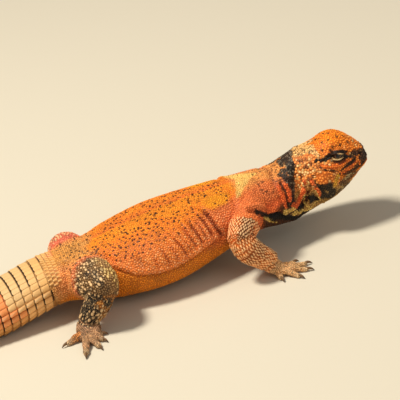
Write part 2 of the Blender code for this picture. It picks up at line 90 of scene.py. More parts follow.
# Tail, from the vent back: distance along it, half width, half height
TAIL = (
    (0, 19.3, 13.2),
    (20, 19.2, 13.6),
    (42, 18.4, 13.2),
    (72, 15.6, 11.2),
    (100, 12, 8.8),
    (122, 8.2, 6.2),
    (136, 4.8, 3.8),
    (142, 2.6, 2.2),
)
TAIL_HEADING = 178.0
TAIL_BEND = 26.0
TAIL_SETTLES = 46.0
FIRST_WHORL = 9.0
WHORL_LENGTH = 5.65
WHORL_SHRINK = 0.99
WHORL_COUNT = 26
WHORL_STEP = 1.2

# Digits: part of the way to the claw, height and thickness; claws: distance past it, height, radius
DIGIT_ARCH = (
    (0, 3, 0.98),
    (0.3, 2.9, 0.86),
    (0.52, 2.7, 0.92),
    (0.72, 1.9, 0.7),
    (0.9, 1.5, 0.72),
    (1, 1.3, 0.56),
)
DIGIT_SUNK = 4.0
CLAW_REACH = 3.9
CLAW_HOOK = ((-1.2, 1.5, 0.9), (0.7, 1.9, 0.9), (2.4, 1.5, 0.66), (CLAW_REACH, 0.45, 0.16))

# Head, from the occiput forward in its own frame: along, half width, top, bottom, narrowing
HEAD = (
    (-8, 15.4, 9.2, -30.6, 0.08),
    (-3, 16.6, 10.4, -28, 0.10),
    (3, 18, 12.6, -25, 0.12),
    (9, 18.2, 15.8, -23, 0.15),
    (15, 16.5, 16.6, -19.6, 0.18),
    (20, 14.2, 14.6, -15.9, 0.20),
    (25, 11.8, 11, -11, 0.20),
    (28.6, 9.6, 7.4, -7.5, 0.16),
    (31, 7, 3.8, -5.3, 0.10),
    (32.6, 3.4, 0, -3.4, 0),
)
HEAD_AT = np.array((66.0, -0.3, 40.5))
HEAD_TURN = (-7, 1, -22)
HEAD_AXES = np.array(Euler([math.radians(v) for v in HEAD_TURN]).to_matrix())
EYE_AT = np.array((17.0, 11.2, 5.2))
EYE_RADIUS = 3.5

# Limbs of the right side, from the body out: (x, y, z, radius across, radius up and down)
UPPER_ARM = (
    (26, -10, 31.5, 8.6, 8.6),
    (19, -23, 31, 8.4, 8.4),
    (11, -33, 29.5, 8, 8),
    (6, -40, 28, 6.6, 6.8),
)
FOREARM = (
    (7, -38, 27, 7.2, 7.2),
    (9, -41, 21, 7.8, 7.6),
    (14, -40.5, 15, 7, 6.6),
    (20, -40, 9, 6.4, 5),
)
HAND = (
    (19, -39.5, 8.2, 6.2, 4.4),
    (23.5, -42, 3.9, 6, 3.6),
    (26.5, -44.4, 2.3, 4.6, 2.4),
)
HAND_ROOTS = ((27, -40.5), (28.5, -43), (29, -45.5), (27, -47.5), (22, -46))
HAND_CLAWS = ((38, -36), (43.5, -43), (41.5, -51.5), (33.5, -57.5), (22.5, -54))
THIGH = (
    (-80.5, -5, 19, 12, 12.4),
    (-77.5, -20, 24, 12.4, 13),
    (-75.5, -32, 26.5, 11.4, 12),
    (-74.5, -40, 25.5, 8.8, 9.4),
)
SHANK = (
    (-76, -37, 24, 8.8, 8.8),
    (-79, -38, 17.5, 7.9, 7.6),
    (-84, -36.5, 11, 6.8, 6.2),
    (-87.5, -36, 6.5, 6, 4.7),
)
FOOT = (
    (-86.8, -35.5, 6.2, 6.4, 4.6),
    (-88.4, -40.5, 3.8, 7.2, 3.7),
    (-89.6, -45.5, 2.3, 5.8, 2.5),
)
FOOT_ROOTS = ((-84, -43.5), (-86, -47), (-89, -49), (-92.5, -49), (-95.5, -41.5))
FOOT_CLAWS = ((-79, -45.5), (-81.5, -54), (-86.5, -60.5), (-97, -64), (-105.5, -43.5))

# The left side, in a lower and wider stance
LEFT_UPPER_ARM = (
    (26, 10, 30, 8.6, 8.6),
    (20, 22, 27, 8.4, 8.4),
    (14, 31, 22.5, 7.8, 7.8),
    (11, 37, 19, 6.6, 6.8),
)
LEFT_FOREARM = (
    (11.5, 35, 19.5, 7.2, 7),
    (14, 39.5, 15.5, 7.6, 7.2),
    (21, 42.5, 11.5, 6.8, 6.2),
    (29, 43.5, 8, 6.2, 4.8),
)
LEFT_HAND = (
    (28, 43, 7.6, 6.2, 4.4),
    (33, 45, 3.8, 6, 3.6),
    (36.5, 46, 2.3, 4.6, 2.4),
)
LEFT_HAND_ROOTS = ((37, 42), (38.5, 44.5), (39, 47), (37, 49.5), (32, 49.5))
LEFT_HAND_CLAWS = ((46, 36.5), (52.5, 42.5), (53, 51), (47, 58.5), (35, 60))
LEFT_THIGH = (
    (-81, 6, 19.5, 12, 12.2),
    (-79.5, 18, 21.8, 12.2, 12.2),
    (-79.5, 27, 21.4, 11.2, 11.2),
    (-80, 34, 19, 8.8, 9),
)
LEFT_SHANK = (
    (-80, 31.5, 19, 8.4, 8.4),
    (-84, 35, 14.5, 7.8, 7.5),
    (-90.5, 36.5, 9.5, 6.8, 6.2),
    (-95.5, 38, 6.5, 6, 4.7),
)
LEFT_FOOT = (
    (-94.6, 37.5, 6.2, 6.4, 4.6),
    (-97.4, 42, 3.8, 7, 3.7),
    (-99, 46.5, 2.3, 5.8, 2.5),
)
LEFT_FOOT_ROOTS = ((-94.5, 45.5), (-96.5, 48.5), (-99.5, 50.5), (-102.5, 50), (-104.5, 43))
LEFT_FOOT_CLAWS = ((-88.5, 51), (-92.5, 58.5), (-99, 64), (-110.5, 65.5), (-115.5, 46.5))

LIMBS = (
    ("arm", -1, (UPPER_ARM, FOREARM, HAND), HAND_ROOTS, HAND_CLAWS, 2),
    ("arm", 1, (LEFT_UPPER_ARM, LEFT_FOREARM, LEFT_HAND), LEFT_HAND_ROOTS, LEFT_HAND_CLAWS, 2),
    ("leg", -1, (THIGH, SHANK, FOOT), FOOT_ROOTS, FOOT_CLAWS, 2.3),
    ("leg", 1, (LEFT_THIGH, LEFT_SHANK, LEFT_FOOT), LEFT_FOOT_ROOTS, LEFT_FOOT_CLAWS, 2.3),
)


def shade(red, green, blue):
    """A colour given as a display's 0 to 255, as the linear values that materials take."""
    values = np.array((red, green, blue)) / 255
    return np.where(values < 0.04045, values / 12.92, ((values + 0.055) / 1.055) ** 2.4)


# Curves and paths

def smooth_rows(rows, step):
    """Rows made finer by a smooth curve through them, with one about each step of travel."""
    rows = np.array(rows, float)
    ends = np.vstack([2 * rows[0] - rows[1], rows, 2 * rows[-1] - rows[-2]])
    fine = []
    for i in range(1, len(ends) - 2):
        a, b, c, d = ends[i - 1 : i + 3]
        count = max(1, round(np.linalg.norm((c - b)[:3]) / step))
        t = (np.arange(count) / count)[:, None]
        bend = (2 * a - 5 * b + 4 * c - d) * t**2
        fine.append(0.5 * (2 * b + (c - a) * t + bend + (3 * b - 3 * c + d - a) * t**3))
    fine.append(rows[-1:])
    return np.vstack(fine)


def unit(vectors):
    return vectors / (np.linalg.norm(vectors, axis=-1, keepdims=True) + 1e-12)


def smoothstep(low, high, value):
    t = np.clip((value - low) / (high - low), 0, 1)
    return t * t * (3 - 2 * t)


def travel_along(line):
    """The distance from a line's first point to each of its points."""
    return np.append(0, np.cumsum(np.linalg.norm(np.diff(line, axis=0), axis=1)))


class Path:
    """A bent path with a frame and half sizes at each place, to loft and to measure against."""

    def __init__(self, middle, side, up, half, rise, drop, place, power=2.0, narrow=0.0):
        self.middle, self.side, self.up = (np.array(v, float) for v in (middle, side, up))
        count = len(self.middle)
        sizes = (half, rise, drop, place, power, narrow)
        sizes = [np.broadcast_to(np.array(v, float), count) for v in sizes]
        self.half, self.rise, self.drop, self.place, self.power, self.narrow = sizes
        self.forward = np.cross(self.side, self.up)

    def ring_points(self, index, turn, grow=0.0):
        """Surface points at samples of the path and turns round it, in radians."""
        power = 2 / self.power[index]
        across = np.sign(np.cos(turn)) * np.abs(np.cos(turn)) ** power
        tall = np.sign(np.sin(turn)) * np.abs(np.sin(turn)) ** power
        half = (self.half[index] + grow) * (1 - self.narrow[index] * np.maximum(tall, 0))
        high = np.where(tall > 0, self.rise[index], self.drop[index]) + grow
        offset = self.side[index] * (half * across)[..., None]
        return self.middle[index] + offset + self.up[index] * (high * tall)[..., None]

    def rings(self, count, grow=0.0):
        turn = np.broadcast_to(np.arange(count) * 2 * math.pi / count, (len(self.middle), count))
        index = np.broadcast_to(np.arange(len(self.middle))[:, None], turn.shape)
        return self.ring_points(index, turn, grow)

    def locate(self, points):
        """Place along the path, offsets across and up as parts of the half sizes, and how far out."""
        nearest = np.empty(len(points), int)
        for start in range(0, len(points), POINTS_AT_ONCE):
            part = points[start : start + POINTS_AT_ONCE]
            gap = (part**2).sum(1)[:, None] - 2 * part @ self.middle.T + (self.middle**2).sum(1)
            nearest[start : start + POINTS_AT_ONCE] = gap.argmin(1)
        offset = points - self.middle[nearest]
        across = (offset * self.side[nearest]).sum(1)
        tall = (offset * self.up[nearest]).sum(1)
        ahead = (offset * self.forward[nearest]).sum(1)
        high = np.where(tall > 0, self.rise[nearest], self.drop[nearest])
        half = self.half[nearest] * (1 - self.narrow[nearest] * np.clip(tall / high, 0, 1))
        a, b = across / half, tall / high
        power = self.power[nearest]
        ratio = (np.abs(a) ** power + np.abs(b) ** power) ** (1 / power) + 1e-9
        reach = np.hypot(across, tall)
        past = (nearest == 0) | (nearest == len(self.middle) - 1)
        out = (ratio - 1) * reach / ratio + np.where(past, np.abs(ahead), 0)
        sign = 1 if self.place[-1] > self.place[0] else -1
        return self.place[nearest] + sign * ahead, a, b, out


def frames_along(centres):
    """Frames carried along a bent path without twisting."""
    sides, ups = [], []
    side = None
    for along in unit(np.gradient(centres, axis=0)):
        side = np.cross(UP, along) if side is None else side - along * (side @ along)
        side = unit(side)
        sides.append(side)
        ups.append(np.cross(along, side))
    return np.array(sides), np.array(ups)


def trunk_to_snout():
    """The path from the vent through the neck to the snout, placed by the distance along."""
    fine = smooth_rows(TRUNK, 1.0)
    along = np.arange(TRUNK[0][0], TRUNK[-1][0] + 0.1)
    rows = np.stack([np.interp(along, fine[:, 0], fine[:, i]) for i in range(1, 6)], 1)
    middle = np.column_stack([along, rows[:, 0], rows[:, 1]])
    forward = unit(np.gradient(middle, axis=0))
    side = unit(np.cross(UP, forward))
    up = np.cross(forward, side)

    fine = smooth_rows(HEAD, 0.6)
    ahead, half, top, bottom, narrow = fine.T
    local = np.column_stack([ahead, 0 * ahead, (top + bottom) / 2])
    head = local @ HEAD_AXES.T + HEAD_AT
    high = (top - bottom) / 2
    count = len(head)

    t = np.arange(1, 12)[:, None] / 12
    nape = middle[-1] * (1 - t) + head[0] * t
    nape_side = unit(side[-1] * (1 - t) + HEAD_AXES[:, 1] * t)
    nape_up = unit(up[-1] * (1 - t) + HEAD_AXES[:, 2] * t)

    def joined(body, first):
        return np.concatenate([body, body[-1] * (1 - t[:, 0]) + first[0] * t[:, 0], first])

    trunk_place = middle[:, 0]
    nape_place = trunk_place[-1] + NAPE_LENGTH * t[:, 0]
    place = np.concatenate([trunk_place, nape_place, trunk_place[-1] + NAPE_LENGTH + ahead + 8])
    return Path(
        np.concatenate([middle, nape, head]),
        np.concatenate([side, nape_side, np.tile(HEAD_AXES[:, 1], (count, 1))]),
        np.concatenate([up, nape_up, np.tile(HEAD_AXES[:, 2], (count, 1))]),
        joined(rows[:, 2], half),
        joined(rows[:, 3], high),
        joined(rows[:, 4], high),
        place,
        joined(0 * along + 2.35, 0 * half + 2.6),
        joined(0 * along, narrow),
    )


def tail_path():
    """The tail from just inside the trunk to its tip."""
    fine = smooth_rows(TAIL, 1.0)
    distance = np.arange(-6, TAIL[-1][0] + 0.1)
    width = np.interp(distance, fine[:, 0], fine[:, 1])
    height = np.interp(distance, fine[:, 0], fine[:, 2])
    start, bend = math.radians(TAIL_HEADING), math.radians(TAIL_BEND)
    heading = start + bend * distance / TAIL[-1][0]
    radius = TAIL[-1][0] / bend
    x = TRUNK[0][0] + radius * (np.sin(heading) - math.sin(start))
    y = TRUNK[0][1] - radius * (np.cos(heading) - math.cos(start))
    settled = smoothstep(0, TAIL_SETTLES, distance)
    z = TRUNK[0][2] * (1 - settled) + (height - 0.5) * settled
    along = np.column_stack([np.cos(heading), np.sin(heading), 0 * heading])
    side = np.cross(along, UP)
    shrink = np.where(distance < 0, 1 + distance * 0.03, 1)
    up = np.tile(UP, (len(x), 1))
    sizes = (width * shrink, height * shrink, height * shrink)
    return Path(np.column_stack([x, y, z]), side, up, *sizes, distance, 2.3)


def tube_path(joints, step=1.0):
    """A length of limb, digit or claw, placed from 0 at its root, with a rounded far end."""
    rows = smooth_rows(joints, step)
    middle, across, down = rows[:, :3], rows[:, 3], rows[:, 4]
    side, up = frames_along(middle)
    further = np.sin(np.arange(1, 9) * math.pi / 16)[:, None]
    tip = np.cross(side[-1], up[-1]) * (min(across[-1], down[-1]) * 0.75 * further)
    shrink = np.sqrt(1 - further[:, 0] ** 2 * 0.985)
    middle = np.vstack([middle, middle[-1] + tip])
    across, down = (np.append(size, size[-1] * shrink) for size in (across, down))
    side, up = (np.vstack([axis, np.tile(axis[-1], (8, 1))]) for axis in (side, up))
    return Path(middle, side, up, across, down, down, travel_along(middle))


def digit_paths(root, claw_tip, thick):
    """A digit that arches down to the ground, and its claw."""
    start = np.array((*root, 0.0))
    reach = np.array((*claw_tip, 0.0)) - start
    along = unit(reach)
    start = start - along * DIGIT_SUNK
    bend = np.linalg.norm(reach) + DIGIT_SUNK - CLAW_REACH
    finger = [
        (*(start + along * (bend * part) + UP * height), thick * size, thick * size * 0.95)
        for part, height, size in DIGIT_ARCH
    ]
    claw = [
        (*(start + along * (bend + further) + UP * height), radius * 0.8, radius)
        for further, height, radius in CLAW_HOOK
    ]
    return tube_path(finger, 0.6), tube_path(claw, 0.3)


# Meshes

def mesh_object(name, points, faces):
    """A mesh object from millimetres in the tables' frame, at the origin of the frame."""
    mesh = bpy.data.meshes.new(name)
    mesh.from_pydata(((points + MODEL_AT) * MM).tolist(), [], faces)
    mesh.validate()
    obj = bpy.data.objects.new(name, mesh)
    bpy.context.scene.collection.objects.link(obj)
    return obj


def loft(rings, first=0):
    """Points and faces of a closed mesh through rings, with a fan over each end."""
    count, sides = rings.shape[:2]
    points = rings.reshape(-1, 3)
    row = np.arange(count - 1)[:, None] * sides
    k = np.arange(sides)
    j = (k + 1) % sides
    quads = np.stack([row + k, row + j, row + j + sides, row + k + sides], -1).reshape(-1, 4)
    faces = (quads + first).tolist()
    poles = np.array([rings[0].mean(0), rings[-1].mean(0)])
    low = first + len(points)
    last = first + (count - 1) * sides
    faces += [(low, first + b, first + a) for a, b in zip(k, j)]
    faces += [(low + 1, last + a, last + b) for a, b in zip(k, j)]
    return np.vstack([points, poles]), faces


def joined_lofts(pieces):
    """Each piece's points, and the faces of all of them as one mesh."""
    points, faces, first = [], [], 0
    for rings in pieces:
        more, found = loft(rings, first)
        points.append(more)
        faces += found
        first += len(more)
    return points, faces


def evaluated(obj):
    """The object's mesh as its modifiers make it; the modifiers are removed."""
    bpy.context.view_layer.update()
    graph = bpy.context.evaluated_depsgraph_get()
    mesh = bpy.data.meshes.new_from_object(obj.evaluated_get(graph))
    obj.modifiers.clear()
    old, obj.data = obj.data, mesh
    bpy.data.meshes.remove(old)
    return obj


def read_rows(items, field, width, kind=np.float32):
    """One field of a mesh's items, a row for each."""
    flat = np.empty(len(items) * width, kind)
    items.foreach_get(field, flat)
    return flat.reshape(-1, width)


def points_of(obj):
    return read_rows(obj.data.vertices, "co", 3).astype(float) / MM - MODEL_AT


def put_points(obj, points):
    obj.data.vertices.foreach_set("co", ((points + MODEL_AT) * MM).astype(np.float32).ravel())
    obj.data.update()


def triangles_of(obj):
    obj.data.calc_loop_triangles()
    return read_rows(obj.data.loop_triangles, "vertices", 3, np.int32)


def edges_of(obj):
    return read_rows(obj.data.edges, "vertices", 2, np.int32)


def add_values(obj, name, kind, field, values):
    """A named value for each of the object's points."""
    layer = obj.data.attributes.new(name, kind, "POINT")
    layer.data.foreach_set(field, values.astype(np.float32).ravel())


def set_colours(obj, colours):
    """The piece's markings, which its material reads as tint."""
    opaque = np.ones(len(colours))
    add_values(obj, "tint", "FLOAT_COLOR", "color", np.column_stack([colours, opaque]))


def set_crest(obj, values):
    """How near to the crest of its scale each point is, which the material reads as crest."""
    add_values(obj, "crest", "FLOAT", "value", np.broadcast_to(values, len(obj.data.vertices)))


def normals_at(points, triangles):
    a, b, c = (points[triangles[:, i]] for i in range(3))
    face = np.cross(b - a, c - a)
    total = np.zeros_like(points)
    for axis in range(3):
        for corner in range(3):
            total[:, axis] += np.bincount(triangles[:, corner], face[:, axis], len(points))
    return unit(total)


def relaxed(points, edges, rounds, share):
    """Points drawn towards the mean of their neighbours; share says how far, point by point."""
    ends = np.concatenate([edges[:, 0], edges[:, 1]])
    others = np.concatenate([edges[:, 1], edges[:, 0]])
    degree = np.bincount(ends, minlength=len(points)) + 1e-9
    share = np.broadcast_to(share, len(points))
    for step in rounds:
        mean = np.stack([np.bincount(ends, points[others, i], len(points)) for i in range(3)], 1)
        points = points + (mean / degree[:, None] - points) * (share * step)[:, None]
    return points


# Noise and strokes

def lattice(cells, seed):
    """A repeatable random number from 0 to 1 for each whole-numbered cell."""
    cells = cells.astype(np.int64)
    mixed = cells[..., 0] * 73856093 ^ cells[..., 1] * 19349663 ^ cells[..., 2] * 83492791
    mixed = (mixed ^ (seed * 2654435761)) & 0xFFFFFFFF
    mixed = (mixed ^ (mixed >> 15)) * 2246822519 & 0xFFFFFFFF
    mixed = (mixed ^ (mixed >> 13)) * 3266489917 & 0xFFFFFFFF
    return (mixed ^ (mixed >> 16)) / 0xFFFFFFFF


def noise(points, size, seed=0):
    """Smooth noise from 0 to 1 with blobs of a size in millimetres."""
    scaled = points / size
    cell = np.floor(scaled)
    t = scaled - cell
    t = t * t * (3 - 2 * t)
    total = 0
    for corner in np.ndindex(2, 2, 2):
        weight = np.prod(np.where(np.array(corner), t, 1 - t), axis=-1)
        total = total + weight * lattice(cell + corner, seed)
    return total


def stroke_reach(points, line):
    """How deep each point lies in a stroke: 1 on its line, 0 at its width, less outside.

    A stroke is rows of (x, y, z, width)."""
    line = np.array(line, float)
    best = np.full(len(points), -9.0)
    low = line[:, :3].min(0) - line[:, 3].max() * 3
    high = line[:, :3].max(0) + line[:, 3].max() * 3
    near = np.where(((points > low) & (points < high)).all(1))[0]
    if len(near) == 0:
        return best
    close = points[near]
    depth = np.full(len(near), -9.0)
    for a, b in zip(line, line[1:]):
        span = b[:3] - a[:3]
        t = np.clip(((close - a[:3]) @ span) / (span @ span), 0, 1)
        gap = np.linalg.norm(close - a[:3] - t[:, None] * span, axis=1)
        depth = np.maximum(depth, 1 - gap / (a[3] + (b[3] - a[3]) * t))
    best[near] = depth
    return best


AXIS = trunk_to_snout()
TAIL_PATH = tail_path()


def limb_paths():
    """Every limb as its three lengths, digits and claws, with its kind and side."""
    found = []
    for kind, side, tables, roots, claws, thick in LIMBS:
        lengths = [tube_path(table) for table in tables]
        digits = [digit_paths(root, claw, thick) for root, claw in zip(roots, claws)]
        found.append((kind, side, lengths, digits))
    return found


LIMB_PATHS = limb_paths()


def whorl_edges():
    edges = [FIRST_WHORL]
    for k in range(WHORL_COUNT):
        edges.append(edges[-1] + WHORL_LENGTH * WHORL_SHRINK**k)
    scale = (TAIL[-1][0] - 4.0 - FIRST_WHORL) / (edges[-1] - FIRST_WHORL)
    return np.array([FIRST_WHORL + (edge - FIRST_WHORL) * scale for edge in edges])


WHORLS = whorl_edges()


class Where:
    """Where points lie on the animal: along and round the trunk, tail and limbs, and in the head."""

    def __init__(self, points):
        self.points = points
        self.head = (points - HEAD_AT) @ HEAD_AXES
        self.mirror = points * (1, -1, 1)
        self.along, a, b, self.axis_out = AXIS.locate(points)
        self.left = a > 0
        self.girdle = np.degrees(np.arctan2(b, np.abs(a)))
        self.tail, ta, tb, self.tail_out = TAIL_PATH.locate(points)
        self.tail_girdle = np.degrees(np.arctan2(tb, np.abs(ta)))
        self.tail_turn = np.degrees(np.arctan2(tb, ta))
        body_out = np.minimum(self.axis_out, np.where(self.tail > 0, self.tail_out, 99))
        self.body_out = body_out
        self.part = np.where((self.tail > 0.5) & (self.tail_out < self.axis_out), "tail", "body")
        self.part = np.where((self.part == "body") & (self.along > 55), "head", self.part)
        self.part = self.part.astype("<U12")
        best = np.abs(body_out) + np.where(body_out > 0, 0, -0.5)
        self.limb_place = np.zeros(len(points))
        self.front = np.zeros(len(points))
        self.top = np.zeros(len(points))
        self.digit = np.full(len(points), -1)
        self.limb = np.full(len(points), -1)
        for number, (kind, side, lengths, digits) in enumerate(LIMB_PATHS):
            pieces = [(f"{kind}{i}", path, -1) for i, path in enumerate(lengths)]
            pieces += [(f"{kind}3", finger, i) for i, (finger, claw) in enumerate(digits)]
            for label, path, digit in pieces:
                place, a, b, out = path.locate(points)
                closer = (np.abs(out) < best) & (body_out > 0.2)
                best = np.where(closer, np.abs(out), best)
                self.part[closer] = label
                self.limb[closer] = number
                self.digit[closer] = digit
                self.limb_place[closer] = (place / path.place[-1])[closer]
                self.front[closer] = (a * -side)[closer]
                self.top[closer] = b[closer]
        shoulder = (self.part == "arm0") & (self.limb_place < 0.56 + 0.1 * self.top)
        haunch = (self.part == "leg0") & (self.limb_place < 0.43)
        self.part[shoulder | haunch] = "body"
        self.far_limb = np.isin(self.limb, (1, 3)).astype(float)

    def on(self, *parts):
        """1 at the places that lie on any of the named parts, and 0 elsewhere."""
        return np.isin(self.part, parts).astype(float)

    def narrowed(self, mask):
        """The same facts for the chosen places only."""
        few = Where.__new__(Where)
        for name, values in vars(self).items():
            setattr(few, name, values[mask])
        return few

    def half_head(self):
        """Places in the head's own frame, with its right half laid over the left."""
        head = self.head.copy()
        head[:, 1] = np.abs(head[:, 1])
        return head


# The skin

# Folds behind the arm: place at mid-height, depth, lowest and highest angle, half width
FLANK_FOLDS = (
    (-1.6, 3, 2, 56, 1.5),
    (-5.6, 2.4, 8, 50, 1.35),
    (-9.2, 1.9, 10, 46, 1.25),
    (-12.8, 2.2, 6, 48, 1.35),
    (-17.6, 1.9, 6, 46, 1.4),
    (-21.2, 1.3, 2, 38, 1.25),
    (-24.8, 1.8, 0, 40, 1.35),
    (-30, 1.4, -2, 34, 1.35),
    (-35.5, 1.5, -2, 32, 1.4),
    (-42, 1.3, 2, 30, 1.4),
    (-49, 1.1, 8, 34, 1.5),
)
FOLD_LEAN = -0.068

# The crease between flank and belly: place and angle
BELLY_CREASE = ((-68, 38), (-62, 24), (-53, 5), (-42, -6), (-31, -8), (-20, -5), (-5, 2), (4, 0))

# Creases and ridges of the body's right side: height, then rows of (x, y, z, width)
NECK_STROKES = (
    (-1.3, ((41.5, -1, 43.6, 2), (39, -10.5, 41.8, 2), (39.4, -16, 37.3, 2), (40, -18, 31, 1.8))),
    (0.9, ((40.9, -14.9, 38.9, 1.5), (41.4, -17.6, 32.7, 1.6), (42, -17.6, 26.1, 1.6))),
    (-1.3, ((42.9, -13.9, 39.7, 1.2), (43.5, -17.2, 33.2, 1.3), (43.5, -17.3, 26.8, 1.4))),
    (1.1, ((44.9, -15, 38.2, 1.5), (45.6, -17, 32.5, 1.6), (45, -17.3, 29, 1.5))),
    (-1.2, ((48.6, -14.5, 35.5, 1.3), (47.8, -16, 29.3, 1.4), (46.2, -16.8, 25.1, 1.4))),
    (1.9, (
        (56.6, -15, 36, 1.8), (54.5, -14.6, 30, 2), (51.5, -14, 25.8, 2), (45.5, -16.6, 23.2, 1.8),
        (40.5, -17.6, 24, 1.6),
    )),
    (-1.6, ((57, -15.8, 29.5, 1.6), (53, -12, 22.4, 2), (47.5, -14.6, 20.8, 1.5))),
    (1.2, ((40, -17, 21.6, 1.4), (46.3, -15, 18.6, 1.5), (53, -12, 17.6, 1.5), (58, -12.5, 18.8, 1.5))),
)
BODY_STROKES = (
    (1.7, (
        (16, -28.2, 38.6, 1.6), (22.8, -27.6, 36.8, 1.8), (29, -20.6, 29.5, 2), (33.5, -19.2, 27, 2),
        (37.5, -18.4, 29.5, 1.8),
    )),
    (-2.6, (
        (17.4, -30.4, 37.6, 1.5), (22.4, -30.6, 34.8, 1.6), (26.5, -26, 28, 2), (31, -19.6, 23.4, 2),
        (36, -18.3, 24, 1.6),
    )),
    (-1.2, ((13.9, -10.5, 43, 1.1), (12.7, -19.6, 38.6, 1.3), (10.6, -27, 36.8, 1.4))),
    (0.7, ((16.5, -12.5, 42.2, 1.6), (16, -19.6, 39.6, 2), (14.5, -26, 38.4, 2))),
    (-0.8, ((-87.6, -8.8, 32.4, 1.2), (-81.9, -11.2, 34, 1.2), (-76.7, -8.6, 35, 1.2))),
    (-0.9, ((-90.5, -17.5, 22.9, 1.4), (-89.4, -15, 28.4, 1.4), (-87.6, -8.8, 32.4, 1.2))),
    (-1.2, (
        (-87.6, -17.3, 30.6, 1.2), (-81.8, -12.7, 34.3, 1.3), (-72.8, -12.4, 34.6, 1.3),
        (-66, -17.7, 33.2, 1.4), (-62.9, -24, 30, 1.5), (-62.6, -27.6, 24, 1.6),
    )),
)


def on_neck(where):
    """Places on the neck as (along, down the side, 0), the same for both sides."""
    return np.stack([where.along, np.radians(90 - where.girdle) * NECK_RADIUS, 0 * where.along], 1)


def laid_flat(line):
    """A stroke measured on the right side, as one to use with on_neck."""
    line = np.array(line, float)
    return np.column_stack([on_neck(Where(line[:, :3])), line[:, 3]])


def fold_relief(where):
    """Folds of the flank and neck and the belly's crease, as a height outward."""
    along = where.along
    girdle = where.girdle + 14 * where.left
    wobble = (noise(where.points, 9, 3) - 0.5) * 1.8
    height = np.zeros(len(along))
    for at, depth, low, high, width in FLANK_FOLDS:
        slant = at + (girdle - 30) * FOLD_LEAN + wobble
        window = smoothstep(low - 7, low + 7, girdle) * (1 - smoothstep(high - 12, high + 8, girdle))
        gap = (along - slant) / width
        height += window * depth * (0.26 * np.exp(-((np.abs(gap) - 1.4) ** 2)) - np.exp(-gap * gap))
    lift = (where.girdle - belly_crease(along) - wobble) / 3.4
    window = smoothstep(-70, -60, along) * (1 - smoothstep(-6, 6, along))
    height += window * (0.5 * np.exp(-((lift - 2.4) ** 2) / 2) - 1.1 * np.exp(-lift * lift))
    reaches = [(size, stroke_reach(on_neck(where), laid_flat(line))) for size, line in NECK_STROKES]
    for size, line in BODY_STROKES:
        reaches += [(size, stroke_reach(points, line)) for points in (where.points, where.mirror)]
    for size, reach in reaches:
        height += size * np.exp(-((1 - reach) ** 2) * 1.2) * (reach > -2)
    nape = (where.part == "head") & (where.head[:, 0] < 2)
    return height * (np.isin(where.part, ("body", "leg0")) | nape)


def whorl_relief(where):
    """The tail's steps: each whorl low in front and highest near its rear edge."""
    k = np.clip(np.searchsorted(WHORLS, where.tail) - 1, 0, WHORL_COUNT - 1)
    t = np.clip((where.tail - WHORLS[k]) / (WHORLS[k + 1] - WHORLS[k]), 0, 1)
    size = WHORL_STEP * np.interp(where.tail, (0, 100, 142), (1.0, 0.8, 0.4))
    step = -size * (1 - smoothstep(0.0, 0.35, t)) - size * 0.5 * smoothstep(0.93, 1.0, t)
    return step * (where.part == "tail") * (where.tail > FIRST_WHORL)


# Swellings of the head, mirrored: middle, spread and height outward
HEAD_SWELLINGS = (
    ((17, 13, 5.2), (4.4, 4, 4), 1.5),
    ((16.5, 10.5, 11.5), (6, 4, 2.6), 1),
    ((6, 17, -7), (6.5, 6, 6.5), 1.2),
    ((29.2, 6.2, 3), (2, 2.2, 1.8), 0.7),
    ((24.5, 9.5, 3.2), (3, 3, 2.6), -0.7),
    ((9, 16.5, 3.5), (3, 4, 3), -0.6),
)

